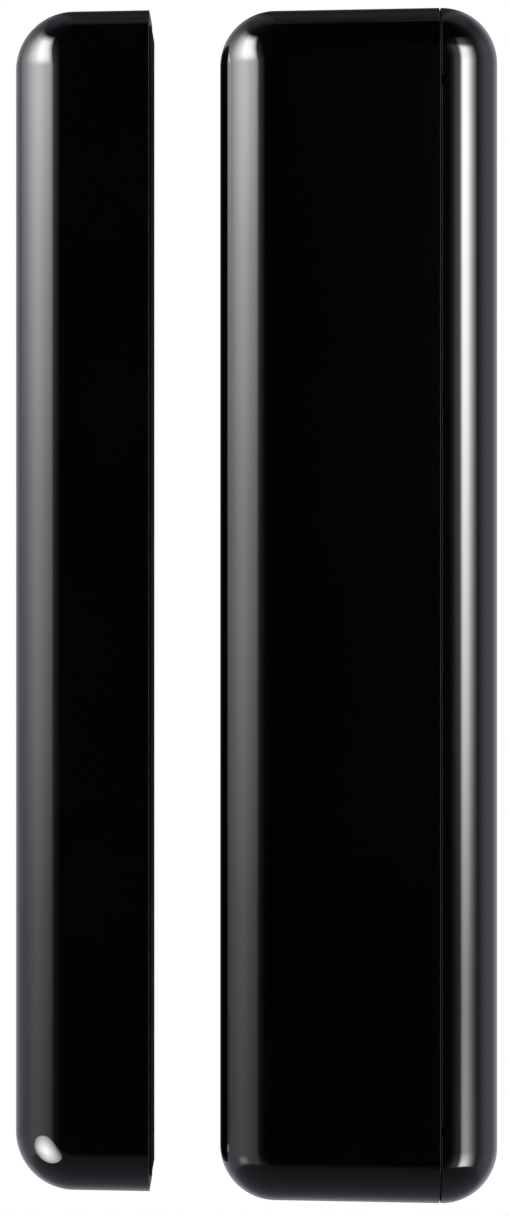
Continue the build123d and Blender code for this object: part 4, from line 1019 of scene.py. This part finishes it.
# The surroundings, by direction: strength, colour, and two angles with (degrees, level) stops. Seen from the object,
# turn runs from the camera to the right, rise runs upwards, and away is the angle from the camera.
LIGHTS = {
    "left soft box": (26.0, (0.985, 0.975, 1.0), "left_turn", [
        (-20, 0), (8, 0), (12, .02), (19, .065), (22, .075), (24.5, .28), (28, .55), (33, .68), (42, .78), (52, .94),
        (62, 1), (72, .88), (84, .62), (96, .36), (111, .15), (126, 0), (160, 0)], "rise", [
        (-60, 0), (-34, 0), (-30, .04), (-20, .04), (-12, .045), (-5.4, .045), (-3.2, .07), (-1, .125), (1.2, .18),
        (3.4, .28), (4.5, .34), (5.7, .415), (16, .36), (34, .2), (46, .05), (52, 0), (60, 0)]),
    "right soft box": (25.0, (1.0, 0.985, 0.955), "turn", [
        (0, 0), (6, .003), (10, .009), (14, .02), (18, .042), (22.5, .055), (27, .065), (29.5, .26), (32, .58),
        (34.5, .95), (38, 1), (42, 1), (46.5, .9), (55, .45), (63, .15), (71, 0), (180, 0)], "rise", [
        (-60, 0), (-31, 0), (-29, .62), (-15, .42), (-5.4, .25), (-4.3, .22), (-3.2, .3), (-2.1, .4), (-1, .54),
        (1.2, .76), (2.3, .87), (5, 1), (9, .9), (24, .85), (28, .4), (31, .08), (40, .04), (45, 0), (60, 0)]),
    "walls": (1.0, (0.94, 0.98, 1.08), "turn", [
        (-180, .12), (-173, .12), (-163, .7), (-150, .7), (-125, .55), (-105, .35), (-60, .15), (-30, .03), (0, 0),
        (30, .02), (60, .12), (70, .3), (78, .36), (84, .54), (90, .75), (104, .9), (112, .8), (120, .6), (135, .8),
        (150, .9), (163, .9), (173, .12), (180, .12)], "rise", [
        (-90, 0), (-40, 0), (-12, 1), (20, 1), (45, .3), (80, .2), (90, .2)]),
    "upper left glow": (17.0, (0.985, 0.98, 1.0), "left_turn", [
        (-20, 0), (22, 0), (27, .4), (34, .85), (42, 1), (54, 1), (68, .45), (84, .15), (100, 0), (160, 0)], "rise", [
        (-60, 0), (4, 0), (9, .2), (16, .8), (22, 1), (42, 1), (50, .2), (53, 0), (60, 0)]),
    "lower left spot": (2.2, (1.0, 0.99, 1.0), "turn", [
        (-180, 0), (-86, 0), (-77, .8), (-72, 1), (-67, 1), (-62, .6), (-56, 0), (180, 0)], "rise", [
        (-60, 0), (-32, 0), (-28.5, .8), (-26, 1), (-23, 1), (-21, .7), (-17, 0), (60, 0)]),
    "from below": (1.0, (0.92, 0.97, 1.1), "away", [
        (0, 0), (24, 0), (36, .16), (80, .28), (118, .4), (140, .6), (180, .8)], "rise", [
        (-60, 1), (-30, 1), (-8, 0), (60, 0)]),
    "from above": (1.0, (0.95, 0.96, 1.1), "away", [
        (0, 0), (86, 0), (100, .14), (130, .12), (180, .3)], "rise", [
        (-90, 0), (40, 0), (60, 1), (90, 1)]),
}


def build_world():
    """Soft studio surroundings: the lights above for reflections and shading, plain white behind the object."""
    world = bpy.data.worlds.new("studio")
    bpy.context.scene.world = world
    sky = Graph(world)

    def table(source, stops):
        """Piecewise linear function of an angle."""
        low, high = stops[0][0], stops[-1][0]
        limits = {"From Min": math.radians(low), "From Max": math.radians(high)}
        ramp = sky.node("ShaderNodeValToRGB", {0: sky.node("ShaderNodeMapRange", {"Value": source} | limits)})
        ramp.color_ramp.interpolation = "LINEAR"
        places = ramp.color_ramp.elements
        for k, (angle, level) in enumerate(stops):
            where = (angle - low) / (high - low)
            settle(places[k] if k < 2 else places.new(where), position=where, color=(level, level, level, 1))
        return ramp

    split = sky.node("ShaderNodeSeparateXYZ", {0: (sky.node("ShaderNodeTexCoord"), "Generated")})
    ahead = sky.math("MULTIPLY", (split, 1), -1.0)
    angles = {"turn": sky.math("ARCTAN2", (split, 0), ahead), "rise": sky.math("ARCSINE", (split, 2)),
              "away": sky.math("ARCCOSINE", ahead)}
    lean = sky.math("MULTIPLY", sky.math("MAXIMUM", angles["rise"], 0.12), 0.5)
    angles["left_turn"] = sky.math("SUBTRACT", sky.math("MULTIPLY", angles["turn"], -1.0), lean)
    total = None
    for strength, color, first, first_stops, second, second_stops in LIGHTS.values():
        level = sky.math("MULTIPLY", table(angles[first], first_stops), table(angles[second], second_stops))
        tint = [c * LIGHT_LEVEL for c in color]
        inputs = {0: tint, "Scale": sky.math("MULTIPLY", level, strength)}
        tinted = sky.node("ShaderNodeVectorMath", operation="SCALE", inputs=inputs)
        total = sky.node("ShaderNodeVectorMath", {0: total, 1: tinted}, operation="ADD") if total else tinted
    seen = (sky.node("ShaderNodeLightPath"), "Is Camera Ray")
    pale = sky.node("ShaderNodeBackground", {"Color": (1.0, 1.0, 1.0, 1)})
    choose = sky.node("ShaderNodeMixShader", {0: seen, 1: sky.node("ShaderNodeBackground", {"Color": total}), 2: pale})
    sky.node("ShaderNodeOutputWorld", {0: choose})


FLOOR_Z = -1450.0
FLOOR_HALF = 9000.0
FLOOR_GLOW = (0.76, 0.98)       # near the object and far away
FLOOR_SPAN = (2.0, 5.4)         # metres from the middle


def build_floor():
    """Plain pale floor far below the wall-mounted object, fading to white with distance."""
    points = [(x * FLOOR_HALF, y * FLOOR_HALF, FLOOR_Z) for x, y in ((-1, -1), (1, -1), (1, 1), (-1, 1))]
    floor = new_piece("floor", points, [(0, 1, 2, 3)], None, None, smooth=False)
    look = Look("floor_paper", Roughness=0.9, Specular_IOR_Level=0.1)
    look.set(Base_Color=look.mix(look.noise(3, 4, 0.6), (0.06, 0.06, 0.06), (0.08, 0.08, 0.08)))
    reach = look.node("ShaderNodeVectorMath", {0: look.mapped((1, 1, 0))}, operation="LENGTH")
    look.set(Emission_Color=(1.0, 1.0, 1.0, 1.0), Emission_Strength=look.span((reach, 1), *FLOOR_SPAN, *FLOOR_GLOW))
    wear(floor.data, look)
    floor.visible_glossy = False
    floor.visible_diffuse = False


LAMP_DISTANCE = 2.2             # metres from the object
FILL_SIZE = (1.4, 1.4)


def lamp(name, turn, rise, watts, size=FILL_SIZE, shines_on=None, spread=180):
    """Large lamp, for one piece or for all dull surfaces: the gloss keeps its own reflections."""
    data = settle(bpy.data.lights.new(name, "AREA"), shape="ELLIPSE", size=size[0], size_y=size[1], energy=watts,
                  spread=math.radians(spread))
    light = bpy.data.objects.new(name, data)
    bpy.context.scene.collection.objects.link(light)
    turn, rise = math.radians(turn), math.radians(rise)
    toward = Vector((math.sin(turn) * math.cos(rise), -math.cos(turn) * math.cos(rise), math.sin(rise)))
    settle(light, location=toward * LAMP_DISTANCE, rotation_euler=toward.to_track_quat("Z", "Y").to_euler(),
           visible_camera=False, visible_glossy=shines_on is not None)
    if shines_on:
        only = bpy.data.collections.new(name + "_only")
        only.objects.link(shines_on)
        light.light_linking.receiver_collection = only


build_world()
lamp("fill_right", 72, 22, 42)
lamp("fill_back", 172, 28, 48)
lamp("magnet_glint", -52, -29, 10.5, (2.3, 1.7), magnet_shell, spread=58)
build_floor()

CAMERA = (-9.54, -500.0, -0.23)                 # half a metre from the wall face
LENS, SENSOR = 154.2, 36
camera_data = settle(bpy.data.cameras.new("camera"), lens=LENS, sensor_width=SENSOR, clip_start=0.01, clip_end=20)
camera = bpy.data.objects.new("camera", camera_data)
bpy.context.scene.collection.objects.link(camera)
settle(camera, location=[c * MM for c in CAMERA], rotation_euler=(math.pi / 2, 0, 0))
bpy.context.scene.camera = camera
bpy.context.scene.view_settings.view_transform = "Standard"
